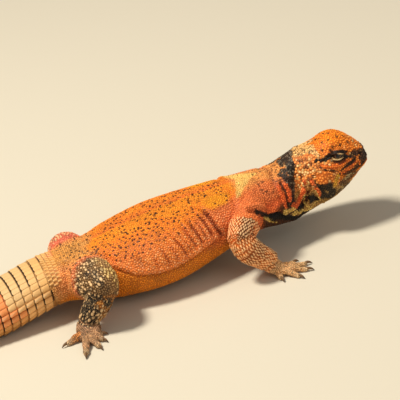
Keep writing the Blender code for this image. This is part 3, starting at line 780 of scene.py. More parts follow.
# Creases and ridges of the head's left half, mirrored: (x, y, z, width) rows and height
MOUTH_LINE = (
    (33.5, 1, -2.2, 0.55),
    (31, 6, -3.2, 0.55),
    (28, 9.2, -5, 0.55),
    (25.2, 10.8, -6.3, 0.55),
    (22.5, 12.2, -7.3, 0.55),
    (20, 13.4, -7.2, 0.55),
    (17.5, 14.8, -6, 0.55),
    (15, 16.2, -4.2, 0.6),
    (12.5, 17.2, -2.4, 0.6),
    (10.2, 17.6, -1.4, 0.5),
)
HEAD_STROKES = (
    (MOUTH_LINE, -0.75),
    ((
        (31.2, 5.6, -1.9, 1), (28, 9.4, -3.4, 1), (22.5, 12.6, -5.4, 1), (17.5, 15.2, -4.2, 1),
        (13, 17.4, -0.8, 1),
    ), 0.28),
    (((31, 5.4, -4.6, 1), (28, 8.6, -6.6, 1), (22.5, 11.8, -8.9, 1), (17.5, 14.8, -8, 1)), 0.25),
    ((
        (10.5, 15.6, 7.2, 1.1), (13.3, 14.9, 8.6, 1.2), (16.5, 14, 9.3, 1.3), (20, 12.2, 9, 1.2),
        (23.5, 10.2, 7.6, 1),
    ), 0.75),
    ((
        (11, 15.6, 5.6, 0.8), (13.4, 14.8, 7, 0.8), (16.5, 14, 7.9, 0.8), (20, 12.4, 7.5, 0.8),
        (22.6, 11, 6, 0.8),
    ), -0.5),
    (((12, 16.2, 3.2, 0.8), (14.5, 16.2, 1.6, 0.8), (18, 15, 1.2, 0.8), (21.5, 13.2, 2.2, 0.8)), -0.45),
    ((
        (10.5, 17, 1.6, 1.1), (14.5, 16.8, 0, 1.1), (18.5, 15.3, -0.3, 1.1), (22.5, 13, 0.9, 1.1),
        (26, 10.6, 2.2, 1),
    ), 0.5),
    ((
        (9, 17.8, -0.6, 0.9), (13, 17.5, -1.9, 0.9), (17, 15.7, -2.8, 0.9), (20.5, 14, -2, 0.9),
        (24, 12.1, -0.4, 0.9),
    ), -0.35),
    (((22.5, 9.6, 8, 1.1), (26, 7.8, 6.6, 1.1), (29, 5.4, 5.4, 1)), 0.45),
    (((0.3, 17.8, -5.9, 1.3), (3.3, 18.2, -11.9, 1.4), (4.4, 16.9, -16, 1.4), (5, 12, -21, 1.6)), 1),
    (((-0.8, 17.5, -8, 1.1), (0.2, 17.4, -12.8, 1.5), (0.8, 15.6, -18, 2), (0, 11, -22, 2)), -1.3),
    (((2.8, 18.6, -7.4, 0.9), (5.4, 18.3, -12.4, 1), (6.6, 16.4, -17, 1.2)), -0.6),
    (((1.4, 18.2, -0.4, 0.9), (1.3, 18.4, -3, 0.95), (1.6, 18.2, -5.4, 0.9)), -1.7),
    (((3.2, 18.5, 0.2, 0.9), (3.2, 18.9, -3, 1), (3.4, 18.6, -5.8, 0.9)), 0.5),
)
NOSTRIL_AT = np.array((29.4, 7.0, 3.0))

# The ball that the lids' edges lie on, and half the length of the slit between them
LID_RADIUS = 4.0
HALF_SLIT = 3.9


def lid_edges(x):
    """Heights of the lower and upper lid's edge at places along the eye, from its middle."""
    span = np.clip(1 - (x / HALF_SLIT) ** 2, 0, 1)
    return -1.4 * span**0.8 - 0.05 * x, 1.5 * span**0.62 - 0.05 * x


def head_relief(where):
    """Swellings, ridges, the mouth's groove, ears and nostrils, as a height outward."""
    head = where.half_head()
    height = np.zeros(len(head))
    for middle, spread, size in HEAD_SWELLINGS:
        gap = (head - middle) / spread
        height += size * np.exp(-(gap**2).sum(1))
    for line, size in HEAD_STROKES:
        reach = stroke_reach(head, line)
        height += size * np.exp(-((1 - reach) ** 2) * 1.4) * (reach > -2)
    gap = np.linalg.norm((head - NOSTRIL_AT) / (0.85, 1.6, 0.7), axis=1)
    height += -1.3 * np.exp(-(gap**4)) + 0.28 * np.exp(-(((gap - 1.55) / 0.4) ** 2))
    height += (noise(where.points, 1.4, 8) - 0.5) * 0.12
    return height * (where.part == "head")


def opened_eyes(points, where):
    """Lids drawn over the eyeball, with the skin turned in under it inside the slit."""
    head, side = where.half_head(), np.sign(where.head[:, 1])
    offset = head - EYE_AT
    reach = np.linalg.norm(offset, axis=1)
    near = (reach < 6.2) & (offset[:, 1] > -0.5) & (where.part == "head")
    spot, radius = offset[near], reach[near]
    inside, close = lid_gap(head[near])
    lid = 4.05 + 0.25 * np.exp(-((inside + 0.35) ** 2) / 0.12)
    lid -= 0.25 * np.exp(-((inside + 1.1) ** 2) / 0.12)
    blend = smoothstep(0.3, 1.8, spot[:, 1])
    outer = np.maximum(radius * (1 - blend) + lid * blend, np.minimum(radius, lid))
    hidden = np.where(inside > 0, 2.7, outer)
    share = smoothstep(-0.06, 0.06, inside)
    radius_now = outer * (1 - share) + hidden * share
    head[near] = EYE_AT + spot / radius[:, None] * radius_now[:, None]
    head[:, 1] *= np.where(side == 0, 1, side)
    return head @ HEAD_AXES.T + HEAD_AT


def fused_skin():
    """All paths lofted and fused into one closed mesh by voxels."""
    lofts = [AXIS.rings(120, -SKIN_DEPTH), TAIL_PATH.rings(96, -SKIN_DEPTH)]
    for kind, side, lengths, digits in LIMB_PATHS:
        lofts += [path.rings(48, -SKIN_DEPTH) for path in lengths]
        lofts += [finger.rings(24, -DIGIT_SKIN_DEPTH) for finger, claw in digits]
    points, faces = joined_lofts(lofts)
    skin = mesh_object("skin", np.vstack(points), faces)
    remesh = skin.modifiers.new("fuse", "REMESH")
    remesh.mode = "VOXEL"
    remesh.voxel_size = VOXEL * MM
    return evaluated(skin)


# How much of the skin's fineness each part keeps
KEPT_FINE = ((0.75, ("head",)), (0.85, ("arm3", "leg3")), (0.6, ("arm2", "leg2")))


def thinned(skin, keep):
    """Fewer triangles where the form is plain, and all of them where keep is near 1."""
    group = skin.vertex_groups.new(name="keep")
    for level in range(11):
        chosen = np.where(np.round((1 - keep) * 10) == level)[0]
        if len(chosen):
            group.add(chosen.tolist(), level / 10, "REPLACE")
    modifier = skin.modifiers.new("thin", "DECIMATE")
    modifier.ratio = min(1.0, SKIN_TRIANGLES / len(triangles_of(skin)))
    modifier.vertex_group = "keep"
    modifier.vertex_group_factor = 1.0
    evaluated(skin)
    skin.vertex_groups.clear()
    return skin


def make_skin():
    """The animal's skin: fused, smoothed at the joints, creased, opened at the eyes and thinned."""
    skin = fused_skin()
    points, edges = points_of(skin), edges_of(skin)
    points = relaxed(points, edges, (0.5, -0.52) * 6, 1.0)
    where = Where(points)
    joint = np.exp(-((where.body_out - 0.8) / 2.2) ** 2) * (where.part != "head")
    joint *= (where.limb >= 0) & (where.part != "body") | (where.body_out > 0.4)
    points = relaxed(points, edges, (0.5,) * 16, np.clip(joint, 0, 1))
    normals = normals_at(points, triangles_of(skin))
    height = fold_relief(where) + whorl_relief(where) + head_relief(where)
    height += (noise(points, 3.2, 5) - 0.5) * 0.22 + (noise(points, 1.5, 6) - 0.5) * 0.1
    points = points + normals * height[:, None]
    points = relaxed(points, edges, (0.5, -0.52), 1.0)
    points = opened_eyes(points, Where(points))
    points[:, 2] = np.maximum(points[:, 2], FLOOR_GAP)
    put_points(skin, points)
    keep = np.full(len(points), 0.3)
    for share, parts in KEPT_FINE:
        keep[np.isin(where.part, parts)] = share
    eye_gap = np.linalg.norm(np.abs(where.head) - EYE_AT, axis=1)
    keep[(where.part == "head") & (eye_gap < 7)] = 1.0
    return thinned(skin, keep)


# Markings

def lay(colour, mask, new):
    """A colour laid over others where the mask is 1."""
    return colour + (new - colour) * np.clip(mask, 0, 1)[:, None]


def laid(colour, *layers):
    """Display colours laid over others in turn, each where its own mask is 1."""
    for mask, tint in layers:
        colour = lay(colour, mask, shade(*tint))
    return colour


def plain(count, *tint):
    return np.tile(shade(*tint), (count, 1))


def edged(reach):
    """The mask of a stroke with a soft edge, from how deep each point lies in it."""
    return smoothstep(-0.25, 0.25, reach)


# Marks of the head's left half, mirrored: rows of (x, y, z, width)
EYE_STRIPE = ((4.6, 15.8, 4.8, 0.8), (9.5, 15.8, 5.3, 1.1), (12.6, 14.9, 5.4, 1.2))
FRONT_STRIPE = ((21, 13, 4.3, 1.1), (24, 11.2, 3.4, 1), (27.2, 9.3, 3.2, 0.9))
UNDER_BROW = (
    (10.6, 15.4, 6.5, 0.7),
    (13.3, 14.9, 7.8, 0.8),
    (16.5, 14.1, 8.5, 0.8),
    (20.5, 12, 7.9, 0.8),
    (23.2, 10.5, 6.4, 0.9),
)
CHEEK_BAND = (
    (7.5, 17.3, 2, 0.9),
    (12.3, 16.9, 0.6, 1.2),
    (18.4, 15.1, -0.1, 1.2),
    (23.4, 12.2, 1.4, 1.1),
)
LINE_BELOW = (
    (8.8, 17.7, -0.2, 0.5),
    (12.5, 17.5, -1.7, 0.7),
    (15.7, 16.2, -2.9, 0.8),
    (18.4, 15.1, -2.5, 0.8),
    (21.5, 13.4, -1.6, 0.9),
    (24, 12.2, -0.2, 1.2),
    (26.4, 10.4, 1.4, 1.2),
)
SNOUT_DARK = (
    ((24.6, 10.4, 4.2, 1.1), (27.6, 8, 4.4, 1.6), (30.4, 4.6, 3, 2.1), (32.6, 0, 0.4, 2.5)),
    ((32.2, 4.4, -1, 2.2), (30.6, 7.2, -1.6, 1.8), (29.2, 8.6, -3.6, 1.5)),
    ((32.4, 0, 1, 2.6), (31.4, 5, 1.4, 2.2), (29.6, 8.2, 1.4, 1.5)),
)
LIP_PATCHES = (
    ((27.2, 10.4, -0.6, 0.9), (25.4, 11.4, -1.4, 1.2), (23.8, 12.3, -3, 1.2)),
    ((22.2, 13, -3.8, 1), (20.2, 14, -4.3, 1.3), (18.4, 14.9, -5, 1)),
    ((28.6, 9.4, -0.4, 0.6), (28.7, 9.2, -2.4, 0.6)),
)
LIP_DARK = ((29, 8.8, -2.6, 1.2), (25.8, 10.8, -4.6, 1.4), (22.6, 12.4, -6.2, 1.3), (17.5, 15, -5.2, 1.2))
JAW_DARK = (
    ((31, 3, -5.6, 1.4), (28, 8, -7.6, 1.8), (23.4, 11.2, -9.2, 2.4), (18.6, 13.6, -11, 3)),
    ((19.7, 8.4, -14.4, 3.2), (15.4, 11.2, -17, 2.6)),
)
JAW_YELLOW = ((16, 16, -6, 1.2), (14.4, 16.4, -8.6, 1.5), (13.4, 16, -11.4, 1.4))
CHEEK_PATCH = (
    (11.4, 17.8, -2.9, 2.2),
    (8.6, 18.5, -4.2, 3.2),
    (5.6, 18.9, -4, 2.4),
    (6, 18.9, -6, 2.2),
    (11.4, 17.6, -6.6, 2),
)
CHARCOAL_PATCH = (
    ((3.6, 18.8, -8.6, 1.9), (8.6, 18.6, -10, 2.6), (11.4, 16.6, -12, 2.6), (9.8, 12, -18.6, 3)),
    ((4.6, 17.8, -11.6, 2.2), (5.6, 15.8, -15.8, 2.4), (8, 13.4, -17.6, 2.4)),
)
CHEEK_STRIP = ((0.3, 17.7, -5.9, 1.2), (3.3, 18.2, -11.9, 1.3), (4.2, 17.1, -15.3, 1))
STRIP_EDGE = ((1.4, 18.1, -9.6, 0.5), (2.7, 17.6, -13.6, 0.6), (3.8, 15.5, -18.2, 0.8))
BEHIND_STRIP = ((-0.8, 17.5, -8.5, 0.9), (0.2, 17.4, -12.8, 1.2), (0.6, 16, -17.2, 1.5))
THROAT_TAN = ((3.9, 14.6, -18, 2), (7.4, 9.8, -21.2, 3.2), (12, 4, -21.6, 4))
NAPE_CREAM = (
    ((-6.4, 0, 10, 4.4), (1.6, 0, 12.2, 2.2)),
    ((-5.8, 6, 9.2, 4.2), (1.4, 8, 10.9, 2.8), (4, 12.4, 9, 1.7), (6.6, 14.4, 7.6, 1.2)),
)

# Marks of the neck's and chest's right side in the body's frame, mirrored: (x, y, z, width)
COLLAR = (
    ((53.4, 3, 48.6, 3.5), (53.2, -3, 48.2, 3.5), (52.8, -7, 46, 3.7), (51.5, -9.8, 43.6, 3.4)),
    ((51.5, -9.8, 43.6, 3.2), (50.2, -12, 40.4, 2.8), (49.7, -13.7, 36, 2.2), (48.3, -15.3, 30.7, 1.6)),
    ((46.4, -10.2, 41.8, 1.6), (47.6, -12.6, 38.4, 2), (48.6, -14.4, 34.4, 1.6)),
    ((48.3, -15.3, 30.7, 1.3), (47.5, -16, 29, 1), (45.8, -16.8, 25.1, 1.3)),
    ((48.4, -5, 45.6, 1), (48.9, 0.8, 45.4, 1.2)),
    ((44.3, -9, 42.4, 1.1), (46.6, -6.9, 43.9, 0.8), (48.4, -9, 43.2, 1.2)),
)
NECK_LINE = ((42.9, -13.9, 39.7, 0.5), (43.5, -17.2, 33.2, 0.6), (43.5, -17.3, 26.8, 1))
# Black skin of the throat, and painted shadow in the hollow under the shoulder's flap (the last stroke) and
# over the underside of chest and throat.
THROAT_BLACK_AND_SHADOW = (
    ((56.4, -15.6, 29, 1), (55.2, -14.6, 24.6, 2), (52, -11.5, 21, 1.8), (46.4, -15.6, 21.2, 0.7)),
    ((57.6, -15.8, 24.6, 2), (61, -16.6, 23.4, 1.4)),
    ((31.5, -19.3, 26.4, 1), (35, -18.5, 23.4, 2.2), (40.2, -16.8, 19.4, 2.6), (46.2, -13.6, 15.6, 2.8)),
    ((51, -9, 16, 3.2), (57, -9.5, 15.6, 3), (60, -8.5, 15.6, 1.6)),
    ((46.2, -13.6, 15.6, 2.8), (52, -10, 14.6, 2.8), (50, -3, 10, 5), (40, -4, 11, 6)),
    ((21, -30.8, 36, 1.1), (25.6, -28.1, 31, 1.5), (29, -20.4, 25, 1.7), (33, -18.8, 21, 2)),
)
NECK_RIDGES = (
    ((40.9, -14.9, 38.9, 1.2), (41.4, -17.6, 32.7, 1.3), (42, -17.6, 27, 1.2)),
    ((45, -15, 38.2, 1.2), (45.8, -17, 32.5, 1.3), (45.2, -17.3, 29.6, 1.1)),
    ((56.4, -15, 36, 1.3), (54.6, -14.6, 31, 1.7), (52, -13.8, 26.6, 1.7), (46.6, -16.3, 24, 1.3)),
)
THROAT_YELLOW = (
    ((46.6, -16.3, 23.4, 0.6), (40.5, -17.6, 24.4, 0.7)),
    ((40.2, -17.4, 23, 0.45), (46.3, -15.5, 19.6, 0.5), (53, -12.3, 18.4, 0.5), (58, -13, 18.8, 0.6)),
    (
        (54.9, -14.9, 27.6, 0.4), (54.4, -13.6, 21.4, 0.5), (58.3, -13.4, 18.9, 0.6),
        (61.9, -16.4, 21.6, 0.5),
    ),
    ((27, -21.5, 25.4, 0.4), (29, -19.9, 23.4, 0.7), (30.4, -18.6, 21.2, 0.9), (35.5, -15, 18, 0.7)),
)

# Strokes, colour and strength, in the order in which they are laid on
NECK_MARKS = (
    (COLLAR, (44, 33, 22), 0.95),
    ((NECK_LINE,), (60, 34, 16), 0.9),
    (THROAT_BLACK_AND_SHADOW, (34, 25, 15), 0.97),
    (NECK_RIDGES, (236, 118, 56), 0.95),
    (THROAT_YELLOW, (232, 196, 112), 0.9),
)
HEAD_MARKS = (
    (NAPE_CREAM, (238, 192, 126), 0.92),
    (SNOUT_DARK, (70, 44, 26), 0.94),
    ((LIP_DARK,), (62, 42, 20), 0.9),
    (JAW_DARK, (96, 74, 46), 0.85),
    (CHARCOAL_PATCH, (46, 35, 20), 0.96),
    ((THROAT_TAN,), (172, 132, 66), 0.85),
    ((CHEEK_PATCH,), (234, 140, 56), 1),
    ((CHEEK_BAND,), (228, 122, 40), 1),
    (LIP_PATCHES, (232, 124, 46), 1),
    ((JAW_YELLOW,), (224, 170, 62), 1),
    ((BEHIND_STRIP,), (36, 25, 14), 0.95),
    ((CHEEK_STRIP,), (236, 122, 56), 1),
    ((STRIP_EDGE,), (240, 200, 120), 1),
    ((LINE_BELOW,), (36, 22, 10), 0.96),
    ((UNDER_BROW,), (44, 26, 12), 0.92),
    ((EYE_STRIPE, FRONT_STRIPE), (28, 16, 8), 0.98),
)

# Dark specks of the crown's right half; on the left they lie a little aside
CROWN_SPECKS = (
    (7.2, 5.6, 14.4), (5.9, 3.8, 14), (9.5, 9.8, 13.6), (13, 9.6, 14.2), (17.9, 5.9, 14.7),
    (15.4, 13, 10.8), (9.1, 13.6, 10.1), (13.2, 3.2, 16.4), (23.9, 6.4, 10.4), (19.4, 10.8, 10.7),
    (21.5, 3, 13.6), (10.5, 1, 16), (26.5, 2.4, 9.6),
)
SPECKS_ASIDE = np.array((1.2, 0.6, 0))


def speckle(u, v, cell, spot, seed, stretch=1.0):
    """1 inside spots that are scattered over a plane, one to a cell."""
    best = np.full(len(u), 9.0)
    cu, cv = np.floor(u / cell), np.floor(v / cell)
    for du in (-1, 0, 1):
        for dv in (-1, 0, 1):
            key = np.stack([cu + du, cv + dv, np.zeros(len(u))], -1)
            pu = (cu + du + 0.15 + 0.7 * lattice(key, seed)) * cell
            pv = (cv + dv + 0.15 + 0.7 * lattice(key, seed + 1)) * cell
            size = spot * (0.65 + 0.7 * lattice(key, seed + 2))
            best = np.minimum(best, np.hypot((u - pu) / stretch, v - pv) / size)
    return smoothstep(1.15, 0.8, best)


def head_colour(where, colour):
    """The head's markings laid over its ground colours."""
    left, head = where.head[:, 1] > 0, where.half_head()
    drift = np.stack([noise(where.points, 3.0, 20 + i) - 0.5 for i in range(3)], 1) * 1.3
    moved = head + drift
    x, y, z = moved.T
    cheek = smoothstep(8.5, 3.5, z) * smoothstep(18, 10, x)
    grains = noise(where.points, 1.15, 31)
    colour = laid(
        colour,
        (np.ones(len(x)), (236, 140, 46)),
        (smoothstep(9, 14.5, z), (247, 148, 32)),
        (cheek, (236, 150, 72)),
        (cheek * smoothstep(0.57, 0.64, grains), (240, 196, 132)),
        (cheek * smoothstep(0.34, 0.28, grains) * 0.85, (96, 52, 24)),
        (smoothstep(-8, -14, z), (190, 148, 84)),
        (smoothstep(-19.5, -22, z) * smoothstep(2, 6, x), (216, 176, 104)),
    )
    for strokes, tint, strength in HEAD_MARKS:
        for stroke in strokes:
            colour = laid(colour, (edged(stroke_reach(moved, stroke)) * strength, tint))
    nape = edged(np.maximum(*(stroke_reach(moved, stroke) for stroke in NAPE_CREAM)))
    dots = speckle(x, np.arctan2(np.abs(y), z) * 16, 2.0, 0.5, 35)
    spotted = np.zeros(len(x))
    for spot in CROWN_SPECKS:
        for shift, half in ((0, ~left), (SPECKS_ASIDE, left)):
            gap = np.linalg.norm((head - spot - shift) / (1.0, 1.0, 1.4), axis=1)
            spotted = np.maximum(spotted, half * smoothstep(1.0, 0.55, gap))
    pale = smoothstep(0.70, 0.82, grains) * smoothstep(6.5, 3.5, np.abs(x - 27)) * (z > 3)
    grey = smoothstep(0.62, 0.74, noise(where.points, 1.5, 33)) * (z < -7) * (x > 10)
    inside, near = lid_gap(head)
    ahead = head[:, 0] - EYE_AT[0]
    rim = smoothstep(-0.5, -0.32, inside) * smoothstep(4.0, 2.6, np.abs(ahead))
    rim = rim * np.where(head[:, 2] < EYE_AT[2], 0.8, 0.75 * smoothstep(0.0, 1.6, ahead))
    return laid(
        colour,
        (nape * dots * 0.85, (66, 42, 22)),
        (spotted * 0.85, (60, 34, 14)),
        (pale * 0.8, (236, 196, 130)),
        (grey * 0.7, (196, 172, 124)),
        (near * smoothstep(-2.4, -1.5, inside) * 0.95, (34, 20, 10)),
        (near * rim, (238, 204, 148)),
    )


def lid_gap(head):
    """How far inside the slit between the lids a place of the head's left half is, and if near it."""
    offset = head - EYE_AT
    reach = np.linalg.norm(offset, axis=1) + 1e-9
    ahead, high = offset[:, 0] / reach * LID_RADIUS, offset[:, 2] / reach * LID_RADIUS
    low_edge, high_edge = lid_edges(ahead)
    inside = np.minimum(high - low_edge, high_edge - high)
    inside = np.where(np.abs(ahead) > HALF_SLIT, -1.0, inside)
    return inside, (reach < 6.0) & (offset[:, 1] > 0.3)


def around(where):
    """Distance in millimetres down the side from the middle of the back."""
    return np.radians(90 - where.girdle) * BACK_RADIUS


def far_hip(where):
    """The bulge of the left thigh beside the pelvis, as a mask from 0 to 1."""
    return where.left * smoothstep(-58, -68, where.along) * smoothstep(0.4, 2.4, where.axis_out)


def belly_crease(x):
    """The angle at which the belly's crease lies at places along the trunk."""
    return np.interp(x, *np.array(BELLY_CREASE, float).T)


def trunk_colour(where):
    """Back, flanks, belly, shoulders, neck and pelvis."""
    x, girdle = where.along, where.girdle
    patchy = noise(where.points, 11, 40) - 0.5
    fine = noise(where.points, 4, 41) - 0.5
    level = girdle + patchy * 14
    front = smoothstep(-22, 2, x) * smoothstep(60, 40, level) * smoothstep(-20, 0, level)
    patch = np.hypot((x - 6.5) / 8.5, (girdle - 60) / 15) + fine * 0.5
    neck = smoothstep(17, 24, x)
    pelvis = smoothstep(-65, -78, x + fine * 12)
    rear = 17.2 + (girdle - 50) * 0.14 + patchy * 1.5
    ahead = 19.8 + (girdle - 50) * 0.38 + fine * 2.5
    bar = smoothstep(rear - 0.5, rear + 0.5, x) * smoothstep(ahead + 0.6, ahead - 0.6, x)
    bar = bar * smoothstep(46, 50, girdle)
    # Black skin under the throat, and painted shade over the chest's underside, which lies in shadow.
    under = smoothstep(32, 40, x) * smoothstep(2, -12, level)
    under = np.maximum(under, smoothstep(20, 28, x) * smoothstep(-12, -24, level))
    return laid(
        plain(len(x), 206, 150, 70),
        (smoothstep(-62, -38, level), (226, 140, 32)),
        (smoothstep(-1, 3, girdle - belly_crease(x)), (250, 152, 76)),
        (smoothstep(26, 40, level), (248, 148, 66)),
        (smoothstep(36, 54, level + fine * 16), (245, 148, 42)),
        (smoothstep(58, 78, level + fine * 20) * 0.8, (250, 164, 44)),
        (smoothstep(66, 90, girdle) * where.left * 0.7, (240, 134, 58)),
        (front * 0.8, (238, 140, 82)),
        (smoothstep(1.1, 0.5, patch), (246, 168, 36)),
        (neck * smoothstep(0, 40, level), (234, 138, 78)),
        (neck * smoothstep(46, 70, level), (244, 172, 98)),
        (neck * smoothstep(24, 4, level) * 0.8, (232, 116, 58)),
        (pelvis * smoothstep(-40, 0, level), (236, 162, 98)),
        (pelvis * smoothstep(40, 66, level), (230, 168, 92)),
        (far_hip(where) * 0.85, (240, 130, 104)),
        (bar * 0.95, (248, 204, 122)),
        (under * 0.9, (64, 46, 24)),
    )


def trunk_specks(where):
    """Brown specks of the back and dashes of the shoulder, as a mask from 0 to 1."""
    x, girdle, v = where.along, where.girdle, around(where)
    limit = 36 + (noise(where.points, 8, 44) - 0.5) * 12 - 8 * smoothstep(-30, -55, x)
    limit = limit + 8 * smoothstep(-10, 8, x)
    back = smoothstep(limit - 3, limit + 5, girdle) * smoothstep(-92, -84, x) * smoothstep(16, 12, x)
    thin = smoothstep(0.2, 0.34, noise(where.points, 6, 45) + 0.12 * smoothstep(0, -40, x))
    specks = speckle(x, v, 2.35, 0.56, 50, 0.8) * back * thin * (1 - far_hip(where))
    front = smoothstep(28, 32, x) * smoothstep(50, 46, x) * smoothstep(20, 32, girdle)
    specks = np.maximum(specks, speckle(x, v, 3.3, 0.55, 54, 1.5) * front * 0.8)
    bar = smoothstep(16, 18, x) * smoothstep(30, 27, x) * smoothstep(44, 60, girdle)
    return np.maximum(specks, speckle(x, v, 5.0, 0.6, 57, 0.7) * bar * 0.8)


def painted_glint_dots(where):
    """Painted highlights: pale dots in crossing rows on the lower flank, standing in for the glints of its
    granules.
    """
    x, girdle, v = where.along, where.girdle, around(where)
    band = smoothstep(0, 4, girdle - belly_crease(x))
    band = band * smoothstep(46, 30, girdle + 8 * smoothstep(-30, -60, x))
    band *= smoothstep(-76, -66, x) * smoothstep(14, 4, x)
    rows = np.cos((x + v) * math.pi / 1.65) + np.cos((x - v) * math.pi / 1.65)
    return smoothstep(0.3, 0.9, rows + (noise(where.points, 5, 60) - 0.5)) * band


def tail_colour(where):
    """Cream whorls that turn orange towards the tip, with ochre below."""
    at, girdle = where.tail, where.tail_girdle
    patchy = noise(where.points, 7, 70) - 0.5
    yellow = smoothstep(22, 2, at) * smoothstep(-10, 20, girdle)
    orange = smoothstep(29.5, 31.5, at + 4.5 * smoothstep(24, 4, girdle) + patchy)
    orange = orange * (1 - 0.45 * smoothstep(46, 64, at))
    return laid(
        plain(len(at), 204, 152, 88),
        (smoothstep(-40, -8, girdle + patchy * 20), (230, 176, 112)),
        (smoothstep(10, 46, girdle + patchy * 20), (216, 178, 124)),
        (yellow * 0.7, (226, 170, 96)),
        (orange * 0.85 * smoothstep(-24, 6, girdle), (236, 142, 78)),
        (orange * 0.6 * smoothstep(6, -26, girdle), (186, 124, 54)),
    )


def limb_colour(where, colour):
    """Arms in cream and rust with a dark elbow, and legs in cream on charcoal."""
    place, front, top = where.limb_place, where.front, where.top
    patchy = noise(where.points, 5, 80) - 0.5
    upper, lower, hand = where.on("arm0"), where.on("arm1"), where.on("arm2", "arm3")
    thigh, shank, foot = where.on("leg0"), where.on("leg1"), where.on("leg2", "leg3")
    wrist, toes, digits = where.on("arm2"), where.on("leg3"), where.on("arm3", "leg3")
    ashen = smoothstep(0.1, 0.7, top + patchy) * smoothstep(0.3, 1.0, front + 0.5)
    dusky = smoothstep(0.16, 0.3, place) * smoothstep(0.62, 0.46, place)
    dusky = dusky * smoothstep(-0.3, 0.4, top + patchy)
    sooty = smoothstep(0.42, 0.62, noise(where.points, 4.5, 82) + 0.25 * smoothstep(0.1, -0.5, top))
    olive = thigh * smoothstep(-0.1, 0.5, front + patchy) * smoothstep(-0.6, 0.1, top)
    blotched = smoothstep(0.5, 0.66, noise(where.points, 1.6, 81))
    outer = toes * np.isin(where.digit, (0, 4)) * smoothstep(0.75, 0.35, place)
    return laid(
        colour,
        (upper, (240, 136, 64)),
        (upper * ashen * 0.7, (112, 90, 64)),
        (upper * smoothstep(-0.2, -0.8, top) * 0.7, (216, 142, 74)),
        (lower, (234, 146, 76)),
        (lower * smoothstep(0.0, 0.8, front + patchy) * 0.75, (120, 88, 56)),
        (lower * smoothstep(0.3, 0.9, -top + patchy) * 0.6, (206, 144, 76)),
        (lower * dusky * 0.25, (84, 62, 42)),
        (hand, (216, 164, 110)),
        (wrist * smoothstep(0.3, 0.02, place) * 0.5, (150, 104, 62)),
        (thigh, (132, 98, 58)),
        (thigh * sooty * 0.85, (66, 48, 28)),
        (olive * 0.9, (178, 136, 86)),
        (thigh * smoothstep(0.62, 0.44, place + patchy * 0.1) * 0.9, (236, 136, 84)),
        (thigh * smoothstep(-0.3, -0.8, top) * 0.7, (216, 144, 66)),
        (shank, (44, 32, 20)),
        (shank * smoothstep(0.72, 0.98, front + patchy) * 0.9, (206, 140, 62)),
        (foot, (180, 138, 104)),
        (foot * blotched * 0.5, (112, 78, 52)),
        (toes * 0.5, (200, 156, 114)),
        (outer * 0.8, (230, 150, 72)),
        (digits * smoothstep(0.7, 1.0, place) * 0.6, (240, 214, 172)),
        (where.on("leg0", "leg1") * where.far_limb * 0.85, (240, 134, 104)),
    )


def neck_marks(where, colour):
    """The collar, and the ridges and hollows of the neck and chest, with painted shadow in the hollow under
    the shoulder and under the chest.
    """
    near = np.isin(where.part, ("body", "head")) & (where.along > 12) & (where.along < 72)
    few = where.narrowed(near)
    drift = np.stack([noise(few.points, 2.6, 23 + i) - 0.5 for i in range(2)] + [0 * few.along], 1)
    flat = on_neck(few) + drift * 1.1
    tinted = colour[near]
    ashen = smoothstep(0.56, 0.66, noise(few.points, 0.9, 92))[:, None] * (0.17, 0.14, 0.10)
    for strokes, tint, strength in NECK_MARKS:
        shown = shade(*tint) + ashen * (strokes is COLLAR)
        for stroke in strokes:
            tinted = lay(tinted, edged(stroke_reach(flat, laid_flat(stroke))) * strength, shown)
    colour[near] = tinted
    return colour


def hide_colour(where):
    """The animal's colour at points on its surface, with painted shade in its folds."""
    colour = laid(
        trunk_colour(where),
        (trunk_specks(where) * 0.94, (56, 28, 10)),
        # Painted highlights: pale dots standing in for the glints of the flank's granules.
        (painted_glint_dots(where) * 0.6, (252, 190, 136)),
    )
    ragged = where.tail + (noise(where.points, 4, 42) - 0.5) * 6
    colour = lay(colour, where.on("tail") * smoothstep(0.0, 10.0, ragged), tail_colour(where))
    head_share = smoothstep(47.5, 51.5, where.along) * where.on("head", "body")
    near = head_share > 0
    if near.any():
        on_head = head_colour(where.narrowed(near), colour[near])
        colour[near] = lay(colour[near], head_share[near], on_head)
    colour = neck_marks(where, colour)
    # Painted shade: the colour is darkened in the folds and creases of flank, neck and chest, where shadow
    # lies.
    colour = laid(colour, (smoothstep(-0.4, -2.0, fold_relief(where)) * 0.7, (138, 56, 22)))
    colour = limb_colour(where, colour)
    shift = (noise(where.points, 2.4, 90) - 0.5) * 0.22 + (noise(where.points, 7, 91) - 0.5) * 0.2
    return np.clip(colour * (1 + shift)[:, None], 0, 1)


# Materials

def give(tree, node, inputs):
    """Sets a node's inputs: each takes a value, or a link from another node's output."""
    for key, value in inputs.items():
        if isinstance(value, bpy.types.NodeSocket):
            tree.links.new(value, node.inputs[key])
        else:
            node.inputs[key].default_value = value


def add_node(tree, kind, inputs=(), **settings):
    """A new node's outputs, once its settings and then its inputs are given."""
    node = tree.nodes.new(kind)
    for name, value in settings.items():
        setattr(node, name, value)
    give(tree, node, dict(inputs))
    return node.outputs


def add_sockets(tree, way, sockets):
    """Named inputs or outputs of a node group: each a name, a kind and perhaps a value."""
    for name, kind, *value in sockets:
        socket = tree.interface.new_socket(name=name, in_out=way, socket_type=f"NodeSocket{kind}")
        if value:
            socket.default_value = value[0]


def new_material(name):
    material = bpy.data.materials.new(name)
    material.use_nodes = True
    return material, material.node_tree, material.node_tree.nodes["Principled BSDF"]


